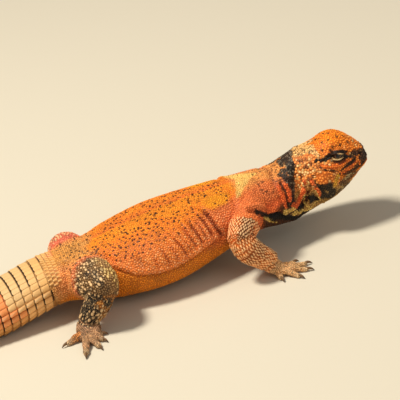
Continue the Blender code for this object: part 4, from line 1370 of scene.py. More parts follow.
def shading_and_mottle_group():
    """Painted shade in the low parts of each scale and painted light on its crest, with the fine mottling,
    pale tips and grain that skin, scales and claws share.
    """
    group = bpy.data.node_groups.new("hide_weathering", "ShaderNodeTree")
    add_sockets(group, "INPUT", (
        ("Colour", "Color", (0.8, 0.5, 0.2, 1)),
        ("Crest", "Float", 1.0),
        ("Valley Shade", "Float", 0.4),
        ("Crest Light", "Float", 0.15),
        ("Mottle Scale", "Float", 900.0),
        ("Mottle", "Float", 0.2),
        ("Grain Scale", "Float", 3500.0),
        ("Roughness Low", "Float", 0.45),
        ("Roughness High", "Float", 0.7),
        ("Valley Warmth", "Float", 0.5),
        ("Tip Colour", "Color", (*shade(252, 212, 156), 1)),
        ("Tip Start", "Float", 0.6),
        ("Tip Share", "Float", 0.0),
    ))
    add_sockets(group, "OUTPUT", (("Colour", "Color"), ("Roughness", "Float"), ("Height", "Float")))
    given = add_node(group, "NodeGroupInput")
    place = add_node(group, "ShaderNodeTexCoord")["Object"]

    def texture(scale, detail):
        inputs = {"Vector": place, "Scale": given[scale], "Detail": detail}
        return add_node(group, "ShaderNodeTexNoise", inputs)["Fac"]

    def maths(kind, a, b):
        return add_node(group, "ShaderNodeMath", {0: a, 1: b}, operation=kind)[0]

    mottle, grain = texture("Mottle Scale", 5), texture("Grain Scale", 3)
    # Painted shade and light: towards each scale's low parts its colour is deepened by a gamma and
    # darkened, and at its crest it is lightened.
    depth = maths("MULTIPLY", maths("SUBTRACT", 1.0, given["Crest"]), given["Valley Warmth"])
    warmed = add_node(
        group, "ShaderNodeGamma", {"Color": given["Colour"], "Gamma": maths("ADD", depth, 1.0)}
    )
    reach = add_node(group, "ShaderNodeMapRange", {
        "Value": given["Crest"],
        "From Min": given["Tip Start"],
        "To Max": given["Tip Share"],
    })
    tipped = add_node(
        group, "ShaderNodeMix", {"Factor": reach[0], 6: warmed[0], 7: given["Tip Colour"]}, data_type="RGBA"
    )
    low = maths("SUBTRACT", 1.0, given["Valley Shade"])
    rise = maths("ADD", given["Valley Shade"], given["Crest Light"])
    lift = maths("ADD", low, maths("MULTIPLY", given["Crest"], rise))
    stir = maths("MULTIPLY", maths("SUBTRACT", mottle, 0.5), given["Mottle"])
    strength = maths("MULTIPLY", lift, maths("ADD", 1.0, maths("MULTIPLY", stir, 2.0)))
    tinted = add_node(group, "ShaderNodeVectorMath", {0: tipped[2], "Scale": strength}, operation="SCALE")
    rough = add_node(group, "ShaderNodeMapRange", {
        "Value": grain,
        "From Min": 0.3,
        "From Max": 0.7,
        "To Min": given["Roughness Low"],
        "To Max": given["Roughness High"],
    })
    result = group.nodes.new("NodeGroupOutput")
    give(group, result, {"Colour": tinted[0], "Roughness": rough[0], "Height": grain})
    return group


SHADING_AND_MOTTLE = shading_and_mottle_group()
GRAIN_DEPTH = 0.0002


def hide_material(name, values, bump):
    """A material that reads a piece's own markings, and its crest attribute for the painted shade and
    light.
    """
    material, tree, surface = new_material(name)
    tint = add_node(tree, "ShaderNodeAttribute", attribute_name="tint")["Color"]
    crest = add_node(tree, "ShaderNodeAttribute", attribute_name="crest")["Fac"]
    marked = {"Colour": tint, "Crest": crest, **values}
    painted_shading = add_node(tree, "ShaderNodeGroup", marked, node_tree=SHADING_AND_MOTTLE)
    grain = {"Strength": bump, "Distance": GRAIN_DEPTH, "Height": painted_shading["Height"]}
    give(tree, surface, {
        "Base Color": painted_shading["Colour"],
        "Roughness": painted_shading["Roughness"],
        "Normal": add_node(tree, "ShaderNodeBump", grain)["Normal"],
        "Specular IOR Level": 0.3,
    })
    return material


# Eyes

CORNEA_REACH = 2.2
CORNEA_BULGE = 0.16


def eye_piece(side):
    """A glossy ball with a dark pupil and a brown iris, its rings round the way it looks."""
    look = np.array((0.12, 1.0 * side, 0.05))
    look /= np.linalg.norm(look)
    turn = Vector((0, 0, 1)).rotation_difference(Vector(look)).to_matrix()
    ball = bmesh.new()
    bmesh.ops.create_uvsphere(ball, u_segments=48, v_segments=40, radius=EYE_RADIUS)
    for corner in ball.verts:
        off = math.hypot(corner.co.x, corner.co.y)
        if corner.co.z > 0 and off < CORNEA_REACH:
            corner.co.z += CORNEA_BULGE * (1 - (off / CORNEA_REACH) ** 2)
    bmesh.ops.transform(ball, matrix=Matrix(turn).to_4x4(), verts=ball.verts)
    mesh = bpy.data.meshes.new("eye")
    ball.to_mesh(mesh)
    ball.free()
    obj = bpy.data.objects.new("right_eyeball" if side < 0 else "left_eyeball", mesh)
    bpy.context.scene.collection.objects.link(obj)
    local = read_rows(mesh.vertices, "co", 3).astype(float)
    off = np.degrees(np.arccos(np.clip(unit(local) @ look, -1, 1)))
    set_colours(obj, laid(
        plain(len(local), 66, 36, 18),
        (smoothstep(21, 16, off), (8, 6, 5)),
        (np.exp(-((off - 24) / 4) ** 2) * 0.45, (150, 92, 42)),
        (smoothstep(30, 42, off), (44, 24, 12)),
    ))
    put_points(obj, (local + EYE_AT * (1, side, 1)) @ HEAD_AXES.T + HEAD_AT)
    mesh.shade_smooth()
    return obj


def eye_material():
    material, tree, surface = new_material("moist_eye")
    tint = add_node(tree, "ShaderNodeAttribute", attribute_name="tint")["Color"]
    place = add_node(tree, "ShaderNodeTexCoord")["Object"]
    flecks = add_node(tree, "ShaderNodeTexNoise", {"Vector": place, "Scale": 2600, "Detail": 4})["Fac"]
    inputs = {"Factor": 0.5, 6: tint, 7: flecks}
    mixed = add_node(tree, "ShaderNodeMix", inputs, data_type="RGBA", blend_type="MULTIPLY")
    give(tree, surface, {
        "Base Color": mixed[2],
        "Roughness": 0.2,
        "Specular IOR Level": 0.25,
        "Coat Weight": 0.5,
        "Coat Roughness": 0.02,
    })
    return material


# Camera, floor and light

FLOOR_REACH = 2600
FLOOR_DROP = 0.02


def make_camera():
    """The photograph's view: its angle, roll and framing."""
    a, e, r = (math.radians(v) for v in (CAMERA_AZIMUTH, CAMERA_ELEVATION, CAMERA_ROLL))
    back = np.array((math.sin(a) * math.cos(e), -math.cos(a) * math.cos(e), math.sin(e)))
    level = np.array((math.cos(a), math.sin(a), 0.0))
    upright = np.cross(back, level)
    right = level * math.cos(r) - upright * math.sin(r)
    up = level * math.sin(r) + upright * math.cos(r)
    data = bpy.data.cameras.new("photo_view")
    camera = bpy.data.objects.new("photo_view", data)
    bpy.context.scene.collection.objects.link(camera)
    at = Matrix.Translation(Vector((CAMERA_TARGET + back * CAMERA_DISTANCE) * MM))
    camera.matrix_world = at @ Matrix(np.stack([right, up, back], 1).tolist()).to_4x4()
    focal = CAMERA_DISTANCE / MM_PER_PIXEL
    data.sensor_width = 36.0
    data.lens = focal * data.sensor_width / FRAME_PIXELS
    middle = FRAME_PIXELS / 2
    data.shift_x = (middle - TARGET_PIXEL[0]) / FRAME_PIXELS
    data.shift_y = (TARGET_PIXEL[1] - middle) / FRAME_PIXELS
    data.clip_start = 0.05
    data.clip_end = 20
    bpy.context.scene.camera = camera


def make_floor():
    corners = [(x, y, -FLOOR_DROP) for x, y in ((-1, -1), (1, -1), (1, 1), (-1, 1))]
    floor = mesh_object("floor", np.array(corners) * (FLOOR_REACH, FLOOR_REACH, 1), [(0, 1, 2, 3)])
    material, tree, surface = new_material("pale_floor")
    give(tree, surface, {"Base Color": (*shade(212, 203, 184), 1), "Roughness": 0.9})
    floor.data.materials.append(material)


def soft_light(name, spot, size, power, colour):
    data = bpy.data.lights.new(name, "AREA")
    data.shape = "DISK"
    data.size = size
    data.energy = power
    data.color = colour
    lamp = bpy.data.objects.new(name, data)
    bpy.context.scene.collection.objects.link(lamp)
    at = Vector(spot)
    lamp.matrix_world = Matrix.Translation(at) @ (-at).to_track_quat("-Z", "Y").to_matrix().to_4x4()


def make_light():
    world = bpy.data.worlds.new("studio")
    world.use_nodes = True
    tree = world.node_tree
    give(tree, tree.nodes["Background"], {"Color": (1.0, 0.95, 0.88, 1), "Strength": 0.27})
    bpy.context.scene.world = world
    soft_light("key", (-0.55, 0.10, 1.5), 0.36, 30.0, (1.0, 0.95, 0.84))
    soft_light("fill", (0.5, -1.3, 0.9), 1.4, 5.0, (1.0, 0.97, 0.93))
    bpy.context.scene.view_settings.view_transform = "Standard"


# Claws

def make_claws(side, kind):
    """The finer claws of one limb's paw, in one piece, each a hooked horn."""
    claws = [
        claw for limb, limb_side, lengths, digits in LIMB_PATHS if (limb, limb_side) == (kind, side)
        for finger, claw in digits
    ]
    pieces, faces = joined_lofts(claw.rings(20) for claw in claws)
    colours = []
    for claw, points in zip(claws, pieces):
        place = claw.locate(points)[0] / claw.place[-1]
        colours.append(laid(
            plain(len(points), 126, 96, 66),
            (smoothstep(0.35, 0.0, place), (176, 138, 96)),
            (smoothstep(0.6, 1.0, place), (74, 54, 38)),
        ))
    name = f"{'right' if side < 0 else 'left'}_{'hand' if kind == 'arm' else 'foot'}_horn_claws"
    obj = mesh_object(name, np.vstack(pieces), faces)
    set_colours(obj, np.vstack(colours))
    set_crest(obj, 0.8)
    obj.data.shade_smooth()
    return obj


# Scales

GRANULE_PITCH = 1.22
SCALE_LIMIT = 8400
SETTLE_GAP = 1.8
PAWS = ("arm2", "arm3", "leg2", "leg3")

# Each shape's rings, from the sunk base up: (reach, reach forward, height, shift, crest);
# the tip that ends them: (x, y, z, crest); and its number of sides
SCALE_SHAPES = {
    "granule": (((1, 1.06, -0.3, 0, 0), (0.84, 0.96, 0.55, 0.06, 0.7)), (0.16, 0, 1, 1), 6),
    "keeled": (
        ((0.95, 1.25, -0.35, 0, 0), (0.82, 1.3, 0.38, 0.1, 0.5), (0.34, 1, 0.86, 0.3, 0.95)),
        (0.95, 0, 1, 1),
        6,
    ),
    "tubercle": (
        ((1, 1, -0.3, 0, 0), (0.86, 0.92, 0.4, 0.04, 0.55), (0.45, 0.6, 0.85, 0.14, 0.95)),
        (0.36, 0, 1.12, 1),
        8,
    ),
    "plate": (
        ((1, 1, -0.4, 0, 0), (0.93, 0.95, 0.5, 0, 0.6), (0.6, 0.66, 0.92, 0.03, 0.95)),
        (0.05, 0, 1, 1),
        6,
    ),
    "lash": (
        ((0.9, 1, -0.3, 0, 0), (0.8, 1.1, 0.5, 0.1, 0.6), (0.45, 0.9, 0.8, 0.4, 1)),
        (1.3, 0, 0.75, 1),
        6,
    ),
}
SIZE_SPREADS = {"granule": 0.12, "keeled": 0.14, "tubercle": 0.25, "plate": 0.10, "lash": 0.15}


def scale_shape(name, rings, tip, sides):
    """One closed scale about its root: +X is its free edge, +Z is out of the skin."""
    points, crest, faces = [], [], []
    for reach, ahead, height, shift, shine in rings:
        for k in range(sides):
            turn = (k + 0.5) * 2 * math.pi / sides
            x = math.cos(turn)
            points.append((x * (ahead if x > 0 else reach) + shift, math.sin(turn) * reach, height))
            crest.append(shine)
    points.append(tip[:3])
    crest.append(tip[3])
    for low in range(0, (len(rings) - 1) * sides, sides):
        for k in range(sides):
            j = (k + 1) % sides
            faces.append((low + k, low + j, low + sides + j, low + sides + k))
    top = (len(rings) - 1) * sides
    faces += [(top + k, top + (k + 1) % sides, len(points) - 1) for k in range(sides)]
    faces.append(tuple(reversed(range(sides))))
    mesh = bpy.data.meshes.new(name)
    mesh.from_pydata((np.array(points) * MM).tolist(), [], faces)
    mesh.shade_smooth()
    shape = bpy.data.objects.new(name, mesh)
    bpy.context.scene.collection.objects.link(shape)
    set_crest(shape, crest)
    return shape


def coat_tree():
    """Geometry Nodes that set one scale on each root, turned and sized as the root says."""
    tree = bpy.data.node_groups.new("scale_coat", "GeometryNodeTree")
    add_sockets(tree, "INPUT", (
        ("Geometry", "Geometry"),
        ("Scale Shape", "Object"),
        ("Size Variation", "Float", 0.12),
        ("Tilt Variation", "Float", 0.12),
        ("Seed", "Int", 7),
        ("Finish", "Material"),
    ))
    add_sockets(tree, "OUTPUT", (("Geometry", "Geometry"),))
    given = add_node(tree, "NodeGroupInput")

    def maths(kind, a, b):
        return add_node(tree, "ShaderNodeMath", {0: a, 1: b}, operation=kind)[0]

    def named(name, kind):
        return add_node(tree, "GeometryNodeInputNamedAttribute", {"Name": name}, data_type=kind)[0]

    def drawn(spread, offset):
        """A random amount about zero as wide as a named input says."""
        inputs = {
            2: maths("MULTIPLY", given[spread], -1),
            3: given[spread],
            "Seed": maths("ADD", given["Seed"], offset),
        }
        return add_node(tree, "FunctionNodeRandomValue", inputs, data_type="FLOAT")[1]

    shape = add_node(tree, "GeometryNodeObjectInfo", {"Object": given["Scale Shape"]})
    tilts = {axis: drawn("Tilt Variation", offset) for axis, offset in (("X", 11), ("Y", 23), ("Z", 37))}
    angles = add_node(tree, "ShaderNodeCombineXYZ", tilts)
    tilt = add_node(tree, "FunctionNodeEulerToRotation", {0: angles[0]})
    turn = {"Rotation": named("facing", "QUATERNION"), "Rotate By": tilt[0]}
    growth = {0: named("size", "FLOAT_VECTOR"), "Scale": maths("ADD", drawn("Size Variation", 51), 1)}
    placed = add_node(tree, "GeometryNodeInstanceOnPoints", {
        "Points": given["Geometry"],
        "Instance": shape["Geometry"],
        "Rotation": add_node(tree, "FunctionNodeRotateRotation", turn, rotation_space="LOCAL")[0],
        "Scale": add_node(tree, "ShaderNodeVectorMath", growth, operation="SCALE")[0],
    })
    real = add_node(tree, "GeometryNodeRealizeInstances", {0: placed[0]})
    coat = {"Geometry": real[0], "Material": given["Finish"]}
    finished = add_node(tree, "GeometryNodeSetMaterial", coat)
    give(tree, tree.nodes.new("NodeGroupOutput"), {0: finished[0]})
    return tree


def quaternions(ahead, out):
    """Turns that carry +X to ahead and +Z to out."""
    side = unit(np.cross(out, ahead))
    ahead = np.cross(side, out)
    m = np.stack([ahead, side, out], -1)
    i, j, k = m[:, 0, 0], m[:, 1, 1], m[:, 2, 2]
    w, x, y, z = (
        np.sqrt(np.maximum(0, 1 + a * i + b * j + c * k)) / 2
        for a, b, c in ((1, 1, 1), (1, -1, -1), (-1, 1, -1), (-1, -1, 1))
    )
    x = np.copysign(x, m[:, 2, 1] - m[:, 1, 2])
    y = np.copysign(y, m[:, 0, 2] - m[:, 2, 0])
    z = np.copysign(z, m[:, 1, 0] - m[:, 0, 1])
    return unit(np.stack([w, x, y, z], 1))


class Skin:
    """The finished skin as a surface on which scales find their roots."""

    def __init__(self, obj):
        self.points = points_of(obj)
        self.triangles = triangles_of(obj)
        self.normals = normals_at(self.points, self.triangles)
        self.tree = BVHTree.FromPolygons(self.points.tolist(), self.triangles.tolist())

    def settle(self, spots):
        """The nearest places on the skin, the way out there, and how far each spot had to move."""
        places, faces, gaps = np.empty((len(spots), 3)), np.empty(len(spots), int), np.empty(len(spots))
        for i, spot in enumerate(spots.tolist()):
            places[i], normal, faces[i], gaps[i] = self.tree.find_nearest(spot)
        return places, unit(self.normals[self.triangles[faces]].mean(1)), gaps

    def scattered(self, count, seed):
        """Random places over the whole skin."""
        rng = np.random.default_rng(seed)
        a, b, c = (self.points[self.triangles[:, i]] for i in range(3))
        area = np.linalg.norm(np.cross(b - a, c - a), axis=1)
        face = rng.choice(len(area), count, p=area / area.sum())
        s, t = np.sqrt(rng.random((count, 1))), rng.random((count, 1))
        spots = a[face] * (1 - s) + b[face] * s * (1 - t) + c[face] * s * t
        return spots, unit(self.normals[self.triangles[face]].mean(1))


class Roots:
    """Roots of scales: places, the way out, the lie, the half sizes, the kind and the gap."""

    def __init__(self):
        self.spots, self.out, self.lie, self.size, self.kind, self.gap = [], [], [], [], [], []

    def add(self, spots, out, lie, size, kind, gap):
        count = len(spots)
        self.spots.append(spots)
        self.out.append(out)
        self.lie.append(np.broadcast_to(lie, (count, 3)))
        self.size.append(np.broadcast_to(size, (count, 3)))
        self.kind.append(np.full(count, kind, "<U12"))
        self.gap.append(np.broadcast_to(gap, count))

    def joined(self):
        for name, rows in vars(self).items():
            setattr(self, name, np.concatenate(rows))
        return self

    def kept(self, mask):
        for name, rows in vars(self).items():
            setattr(self, name, rows[mask])
        return self


def thinned_out(roots):
    """Roots too near to an earlier one are dropped."""
    places, gap = roots.spots.tolist(), roots.gap.tolist()
    tree = KDTree(len(places))
    for i, spot in enumerate(places):
        tree.insert(spot, i)
    tree.balance()
    alive = np.ones(len(places), bool)
    widest = max(gap)
    for i, spot in enumerate(places):
        if not alive[i]:
            continue
        for found, j, distance in tree.find_range(spot, (gap[i] + widest) / 2):
            if j > i and distance < (gap[i] + gap[j]) / 2:
                alive[j] = False
    return roots.kept(alive)


def at_places(path, places):
    """The path sampled anew at given places along it."""
    order = np.argsort(path.place)

    def drawn(values):
        values = values[order]
        if values.ndim == 1:
            return np.interp(places, path.place[order], values)
        return np.stack([np.interp(places, path.place[order], values[:, i]) for i in range(3)], 1)

    half, rise, drop, power, narrow = (
        drawn(size) for size in (path.half, path.rise, path.drop, path.power, path.narrow)
    )
    side, up = unit(drawn(path.side)), unit(drawn(path.up))
    return Path(drawn(path.middle), side, up, half, rise, drop, places, power, narrow)


def rows_round(path, low, high, step, pitch):
    """Spots in staggered rows round a path, spaced from the middle of its top down both sides."""
    rows = at_places(path, np.arange(low, high, step))
    turn = np.radians(90 - np.linspace(0, 180, 200))
    spots, lies = [], []
    for row in range(len(rows.middle)):
        line = rows.ring_points(np.full(len(turn), row), turn)
        travel = travel_along(line)
        want = np.arange(0.5 * (row % 2), travel[-1] / pitch) * pitch
        turns = np.interp(want, travel, turn)
        across = math.pi - (turns if row % 2 else turns[1:])
        for shown in (turns, across):
            spots.append(rows.ring_points(np.full(len(shown), row), shown))
            lies.append(np.tile(rows.forward[row], (len(shown), 1)))
    return np.vstack(spots), np.vstack(lies)


def body_rows(roots, skin):
    spots, ahead = rows_round(AXIS, -88, 55, GRANULE_PITCH * 0.9, GRANULE_PITCH)
    places, out, gaps = skin.settle(spots)
    where = Where(places)
    girdle = where.girdle
    fits = (gaps < SETTLE_GAP) & (where.part == "body") & (where.tail < np.where(girdle > 12, 0.5, 4))
    size = 0.60 - 0.06 * smoothstep(30, 60, girdle) + 0.05 * smoothstep(-5, -40, girdle)
    high = 0.34 - 0.10 * smoothstep(0, -30, girdle)
    sizes = np.stack([size * 1.04, size, high], 1)
    roots.add(places[fits], out[fits], -ahead[fits], sizes[fits], "granule", GRANULE_PITCH * 0.8)


# For each kind of limb: the rows' step, the pitch in a row, the half sizes and the shape
LIMB_SCALES = {
    "arm": (1.5, 1.8, (1.2, 0.86, 0.62), "keeled"),
    "leg": (1.25, 1.35, (0.72, 0.66, 0.34), "granule"),
}


def limb_rows(roots, skin):
    """Rows of scales round the limbs: keeled on the arms, and fine ones on the legs."""
    for number, (kind, side, lengths, digits) in enumerate(LIMB_PATHS):
        step, pitch, size, shape = LIMB_SCALES[kind]
        for i, path in enumerate(lengths[:2]):
            spots, ahead = rows_round(path, 0.5, path.place[-1] - 2.0, step, pitch)
            jitter = np.random.default_rng(60 + number).normal(0, 0.14, spots.shape)
            places, out, gaps = skin.settle(spots + jitter)
            where = Where(places)
            fits = (gaps < SETTLE_GAP) & (where.part == f"{kind}{i}") & (where.body_out > 0.8)
            roots.add(places[fits], out[fits], ahead[fits], size, shape, pitch * 0.72)


def leg_tubercles(roots, skin):
    """Pale keeled scales of uneven size, crowded over the fine scales of the hind legs."""
    rng = np.random.default_rng(90)
    for kind, side, lengths, digits in LIMB_PATHS[2:]:
        for i, path in enumerate(lengths[:2]):
            spots, ahead = rows_round(path, 1.0, path.place[-1] - 1.0, 1.8, 2.0)
            places, out, gaps = skin.settle(spots + rng.normal(0, 0.38, spots.shape))
            where = Where(places)
            fits = (gaps < SETTLE_GAP) & (where.part == f"{kind}{i}") & (where.body_out > 1.0)
            fits &= rng.random(len(spots)) < 0.85
            size = rng.uniform(0.55, 1.0, len(spots)) + 0.2 * (rng.random(len(spots)) < 0.12)
            size = size[fits, None] * (1.35, 0.95, 0.5)
            roots.add(places[fits], out[fits], ahead[fits], size, "tubercle", size[:, 0] * 1.3)


def paw_rows(roots, skin):
    """Fine plates over palms and digits."""
    for kind, side, lengths, digits in LIMB_PATHS:
        paw = lengths[2]
        spots, ahead = rows_round(paw, 0.5, paw.place[-1], 0.95, 1.15)
        places, out, gaps = skin.settle(spots)
        fits = (gaps < 1.6) & (Where(places).part == f"{kind}2") & (places[:, 2] > 0.7)
        roots.add(places[fits], out[fits], ahead[fits], (0.64, 0.56, 0.36), "granule", 0.85)
        for finger, claw in digits:
            spots, ahead = rows_round(finger, 0.4, finger.place[-1] - 0.5, 0.95, 1.0)
            places, out, gaps = skin.settle(spots)
            fits = (gaps < 1.2) & (Where(places).part == f"{kind}3") & (places[:, 2] > 0.6)
            roots.add(places[fits], out[fits], ahead[fits], (0.66, 0.52, 0.32), "granule", 0.75)


def head_lie(spots):
    """Scales of the head lie towards the neck."""
    return np.tile(-HEAD_AXES[:, 0], (len(spots), 1))


def line_spots(line, pitch):
    """Spots at even steps along a stroke of the head, on both sides, with the way along it."""
    line = smooth_rows(line, 0.3)[:, :3]
    travel = travel_along(line)
    want = np.arange(pitch / 2, travel[-1], pitch)
    half = np.stack([np.interp(want, travel, line[:, i]) for i in range(3)], 1)
    along = unit(np.gradient(half, axis=0))
    both = np.vstack([half, half * (1, -1, 1)]) @ HEAD_AXES.T + HEAD_AT
    return both, np.vstack([along, along * (1, -1, 1)]) @ HEAD_AXES.T


UPPER_LIP = tuple((x, y + 0.25, z + 0.95, w) for x, y, z, w in MOUTH_LINE)
LOWER_LIP = tuple((x, y - 0.25, z - 1.0, w) for x, y, z, w in MOUTH_LINE)
EAR_TEETH = ((3, 18.6, -0.2, 1), (2.9, 18.9, -2.8, 1), (3, 18.6, -5.4, 1))


def lid_line(upper, out=0.35):
    """The edge of a lid as a stroke on the eye's ball."""
    rows = []
    for x in np.linspace(-3.5, 3.5, 13):
        low, high = lid_edges(x)
        z = high + out if upper else low - out
        y = math.sqrt(max(4.2**2 - x * x - z * z, 0.4))
        rows.append((*(EYE_AT + (x, y, z)), 1.0))
    return rows


# Rows of scales on the head: the line, the pitch, the half sizes, the shape and the gap
HEAD_ROWS = (
    (lid_line(True), 0.62, (0.42, 0.30, 0.30), "plate", 0.4),
    (lid_line(False), 0.62, (0.42, 0.30, 0.30), "plate", 0.4),
    (UPPER_LIP, 1.15, (0.60, 0.66, 0.34), "plate", 0.85),
    (LOWER_LIP, 1.15, (0.60, 0.66, 0.34), "plate", 0.85),
    (CHEEK_BAND, 1.15, (0.64, 0.62, 0.34), "plate", 0.85),
    (EAR_TEETH, 1.3, (0.8, 0.55, 0.5), "lash", 0.7),
)


def head_rows(roots, skin):
    """Lid edges, lips, the band under the eye and the comb before the ear."""
    for line, pitch, size, shape, gap in HEAD_ROWS:
        spots, along = line_spots(line, pitch)
        places, out, gaps = skin.settle(spots)
        lie = head_lie(places) if shape == "lash" else np.cross(along, out)
        roots.add(places, out, lie, size, shape, gap)


def fill_gaps(where, head, local, eye_gap):
    """How far apart the small scales lie: close at lids and paws, wide on cheek and crown."""
    x, z = local[:, 0], local[:, 2]
    gap = np.where(head, 1.08, 1.0)
    gap = np.where(head & (x > 20), 1.16, gap)
    gap = np.where(head & (z > 9) & (x > 4), 1.22, gap)
    gap = np.where(head & (eye_gap < 5.4), 0.72, gap)
    gap = np.where(head & (z < 6) & (z > -9) & (x > -8) & (x < 14), 1.42, gap)
    return np.where(np.isin(where.part, PAWS), 0.85, gap)


def fill(roots, skin):
    """Small scales wherever no row lies: the head, and the creases between trunk and limbs."""
    spots, out = skin.scattered(FILL_TRIES, 5)
    where = Where(spots)
    head = (where.part == "head") | ((where.part == "body") & (where.along > 54))
    local = where.half_head()
    slit = local - EYE_AT
    eye_gap = np.linalg.norm(slit, axis=1)
    low, high = lid_edges(slit[:, 0])
    open_eye = (eye_gap < 5.0) & (slit[:, 1] > 0) & (np.abs(slit[:, 0]) < 3.7)
    open_eye &= (slit[:, 2] > low - 0.15) & (slit[:, 2] < high + 0.15)
    nostril = np.linalg.norm((local - NOSTRIL_AT) / (0.8, 1.6, 0.65), axis=1) < 1.15
    scuted = np.where(where.tail_girdle > 16, SHORT_WHORLS[0], FIRST_WHORL - 1)
    under = (spots[:, 2] < 0.6) | ((where.part == "tail") & (where.tail > scuted))
    fits = ~(under | (head & (open_eye | nostril)))
    gap = fill_gaps(where, head, local, eye_gap)
    lie = np.where(head[:, None], head_lie(spots), -AXIS.forward[100])
    for name, share, high, on in (("plate", 0.56, 0.42, head), ("granule", 0.58, 0.55, ~head)):
        chosen = fits & on
        half = gap[chosen] * share
        sizes = np.stack([half, half, half * high], 1)
        roots.add(spots[chosen], out[chosen], lie[chosen], sizes, name, gap[chosen])


def scale_colours(where, kind):
    """Each scale's own colour: the hide's, with a little of its own."""
    colour = hide_colour(where)
    rng = np.random.default_rng(3)
    rough = 0.09 * where.on("arm0", "arm1") + 0.16 * where.on(*PAWS)
    light = rng.normal(0, 1, (len(colour), 1)) * (0.09 + rough)[:, None]
    warm = rng.normal(0, 0.05, (len(colour), 1)) * np.array((0.4, 0.1, -0.9))
    thigh = where.on("leg0")
    olive = smoothstep(-0.1, 0.5, where.front) * smoothstep(-0.6, 0.1, where.top) * thigh
    pale = laid(
        plain(len(colour), 222, 184, 136),
        (olive, (226, 190, 118)),
        (smoothstep(0.62, 0.46, where.limb_place) * thigh, (240, 150, 100)),
        (where.far_limb, (246, 178, 128)),
    )
    bright = rng.choice((0.3, 0.6, 0.9, 1.08), (len(colour), 1), p=(0.18, 0.3, 0.36, 0.16))
    pale = pale * bright ** (1 - 0.6 * olive)[:, None]
    pale = pale * np.where(where.part == "leg1", 0.78, 1.0)[:, None]
    raised = (kind == "tubercle")[:, None]
    return np.clip(np.where(raised, pale, colour * (1 + light + warm)), 0.004, 1)


# The flat plan of the OFBake map: body, tail and limbs in strips of their own
PLAN_EDGE = 0.02
TAIL_STRIP = 0.60
LIMB_STRIPS = 0.76
DIGIT_STRIPS = 0.74
BAKE_PATCH = 0.003


def tail_plan(place, turn):
    """Spots on the tail's strip, from the distance along the tail and the angle round it."""
    return np.stack([PLAN_EDGE + place / 146 * 0.6, TAIL_STRIP + turn / 180 * 0.11], -1)


def unwrapped(where):
    """Each place's spot on the flat plan."""
    turn = np.where(where.left, 1, -1) * (90 - where.girdle) / 180
    plan = np.stack([PLAN_EDGE + (where.along + 92) / 200 * 0.96, 0.24 + turn * 0.20], 1)
    on_tail = where.part == "tail"
    plan = np.where(on_tail[:, None], tail_plan(where.tail, where.tail_turn), plan)
    length = np.array([int(part[-1]) if part[-1].isdigit() else 0 for part in where.part])
    round_limb = np.arctan2(where.top, where.front) / math.pi
    reach = np.clip(where.limb_place, 0, 1)
    limb_u = PLAN_EDGE + length * 0.24 + reach * 0.2
    limb_u = np.where(where.digit >= 0, DIGIT_STRIPS + where.digit * 0.05 + reach * 0.04, limb_u)
    limb_v = LIMB_STRIPS + where.limb * 0.06 + round_limb * 0.022
    plan = np.where((where.limb >= 0)[:, None], np.stack([limb_u, limb_v], 1), plan)
    return np.clip(plan, 0.003, 0.997)


def set_bake_map(obj, plan):
    """The OFBake map, from each point's spot on the plan."""
    corner = read_rows(obj.data.loops, "vertex_index", 1, np.int32)[:, 0]
    layer = obj.data.uv_layers.new(name="OFBake")
    layer.data.foreach_set("uv", plan[corner].astype(np.float32).ravel())


def grow_coat(name, roots, chosen, shape, tree, values, colours, plans):
    """One joined piece of many scales on the chosen roots, each on its own patch of the plan."""
    cloud = mesh_object(name, roots.spots[chosen], [])
    facing = quaternions(roots.lie[chosen], roots.out[chosen])
    add_values(cloud, "facing", "QUATERNION", "value", facing)
    add_values(cloud, "size", "FLOAT_VECTOR", "vector", roots.size[chosen])
    set_colours(cloud, colours[chosen])
    modifier = cloud.modifiers.new("scales", "NODES")
    modifier.node_group = tree
    for item in tree.interface.items_tree:
        if item.in_out == "INPUT" and item.name in values:
            modifier[item.identifier] = values[item.name]
    evaluated(cloud)
    patch = read_rows(shape.data.vertices, "co", 3)[:, :2] / MM * BAKE_PATCH * 0.4
    set_bake_map(cloud, (plans[chosen][:, None] + patch).reshape(-1, 2))
    return cloud


def grow_coats(skin, finish):
    """Every coat of the animal but the tail's, each piece small enough to export."""
    roots = Roots()
    for grow in (leg_tubercles, head_rows, body_rows, limb_rows, paw_rows, fill):
        grow(roots, skin)
    thinned_out(roots.joined())
    where = Where(roots.spots)
    colours = scale_colours(where, roots.kind)
    plans = unwrapped(where)
    region = np.where(np.char.startswith(where.part, "arm"), "arm", "trunk")
    region = np.where(np.char.startswith(where.part, "leg"), "leg", region)
    region = np.where(where.part == "head", "head", region)
    shapes = {kind: scale_shape(kind, *form) for kind, form in SCALE_SHAPES.items()}
    tree = coat_tree()
    slots = {"arm": "foreleg_skin", "trunk": "back_skin", "leg": "hindleg_skin", "head": "head_skin"}
    for place, slot in slots.items():
        for kind, shape in shapes.items():
            values = {
                "Scale Shape": shape,
                "Size Variation": SIZE_SPREADS[kind],
                "Tilt Variation": 0.10,
                "Seed": 7,
                "Finish": finish[place],
            }
            chosen = np.where((region == place) & (roots.kind == kind))[0]
            chosen = chosen[np.argsort(where.along[chosen])]
            for number, first in enumerate(range(0, len(chosen), SCALE_LIMIT), 1):
                name = f"{place}_{kind}_scales_{number}"
                part = chosen[first : first + SCALE_LIMIT]
                coat = grow_coat(name, roots, part, shape, tree, values, colours, plans)
                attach(coat, "root")
    for shape in shapes.values():
        bpy.data.objects.remove(shape)


# The tail's whorls

SCUTES_ROUND = 28
SHORT_WHORLS = (1, 3.7, 6.4)

# A scute's top: its rows as parts of the whorl's length, and the places across each row
SCUTE_STEPS = np.array((0, 0.11, 0.24, 0.97))
SCUTE_WIDTHS = np.array((-1, -0.6, 0, 0.6, 1))
LONG, WIDE = len(SCUTE_STEPS), len(SCUTE_WIDTHS)
ROW = np.repeat(np.arange(LONG), WIDE)
AHEAD = np.repeat(SCUTE_STEPS, WIDE)
ACROSS = np.tile(SCUTE_WIDTHS, LONG)

# The top's points, the spine's tip, and the rows under the rear and front edges
SCUTE_POINTS = LONG * WIDE + 1 + 2 * WIDE

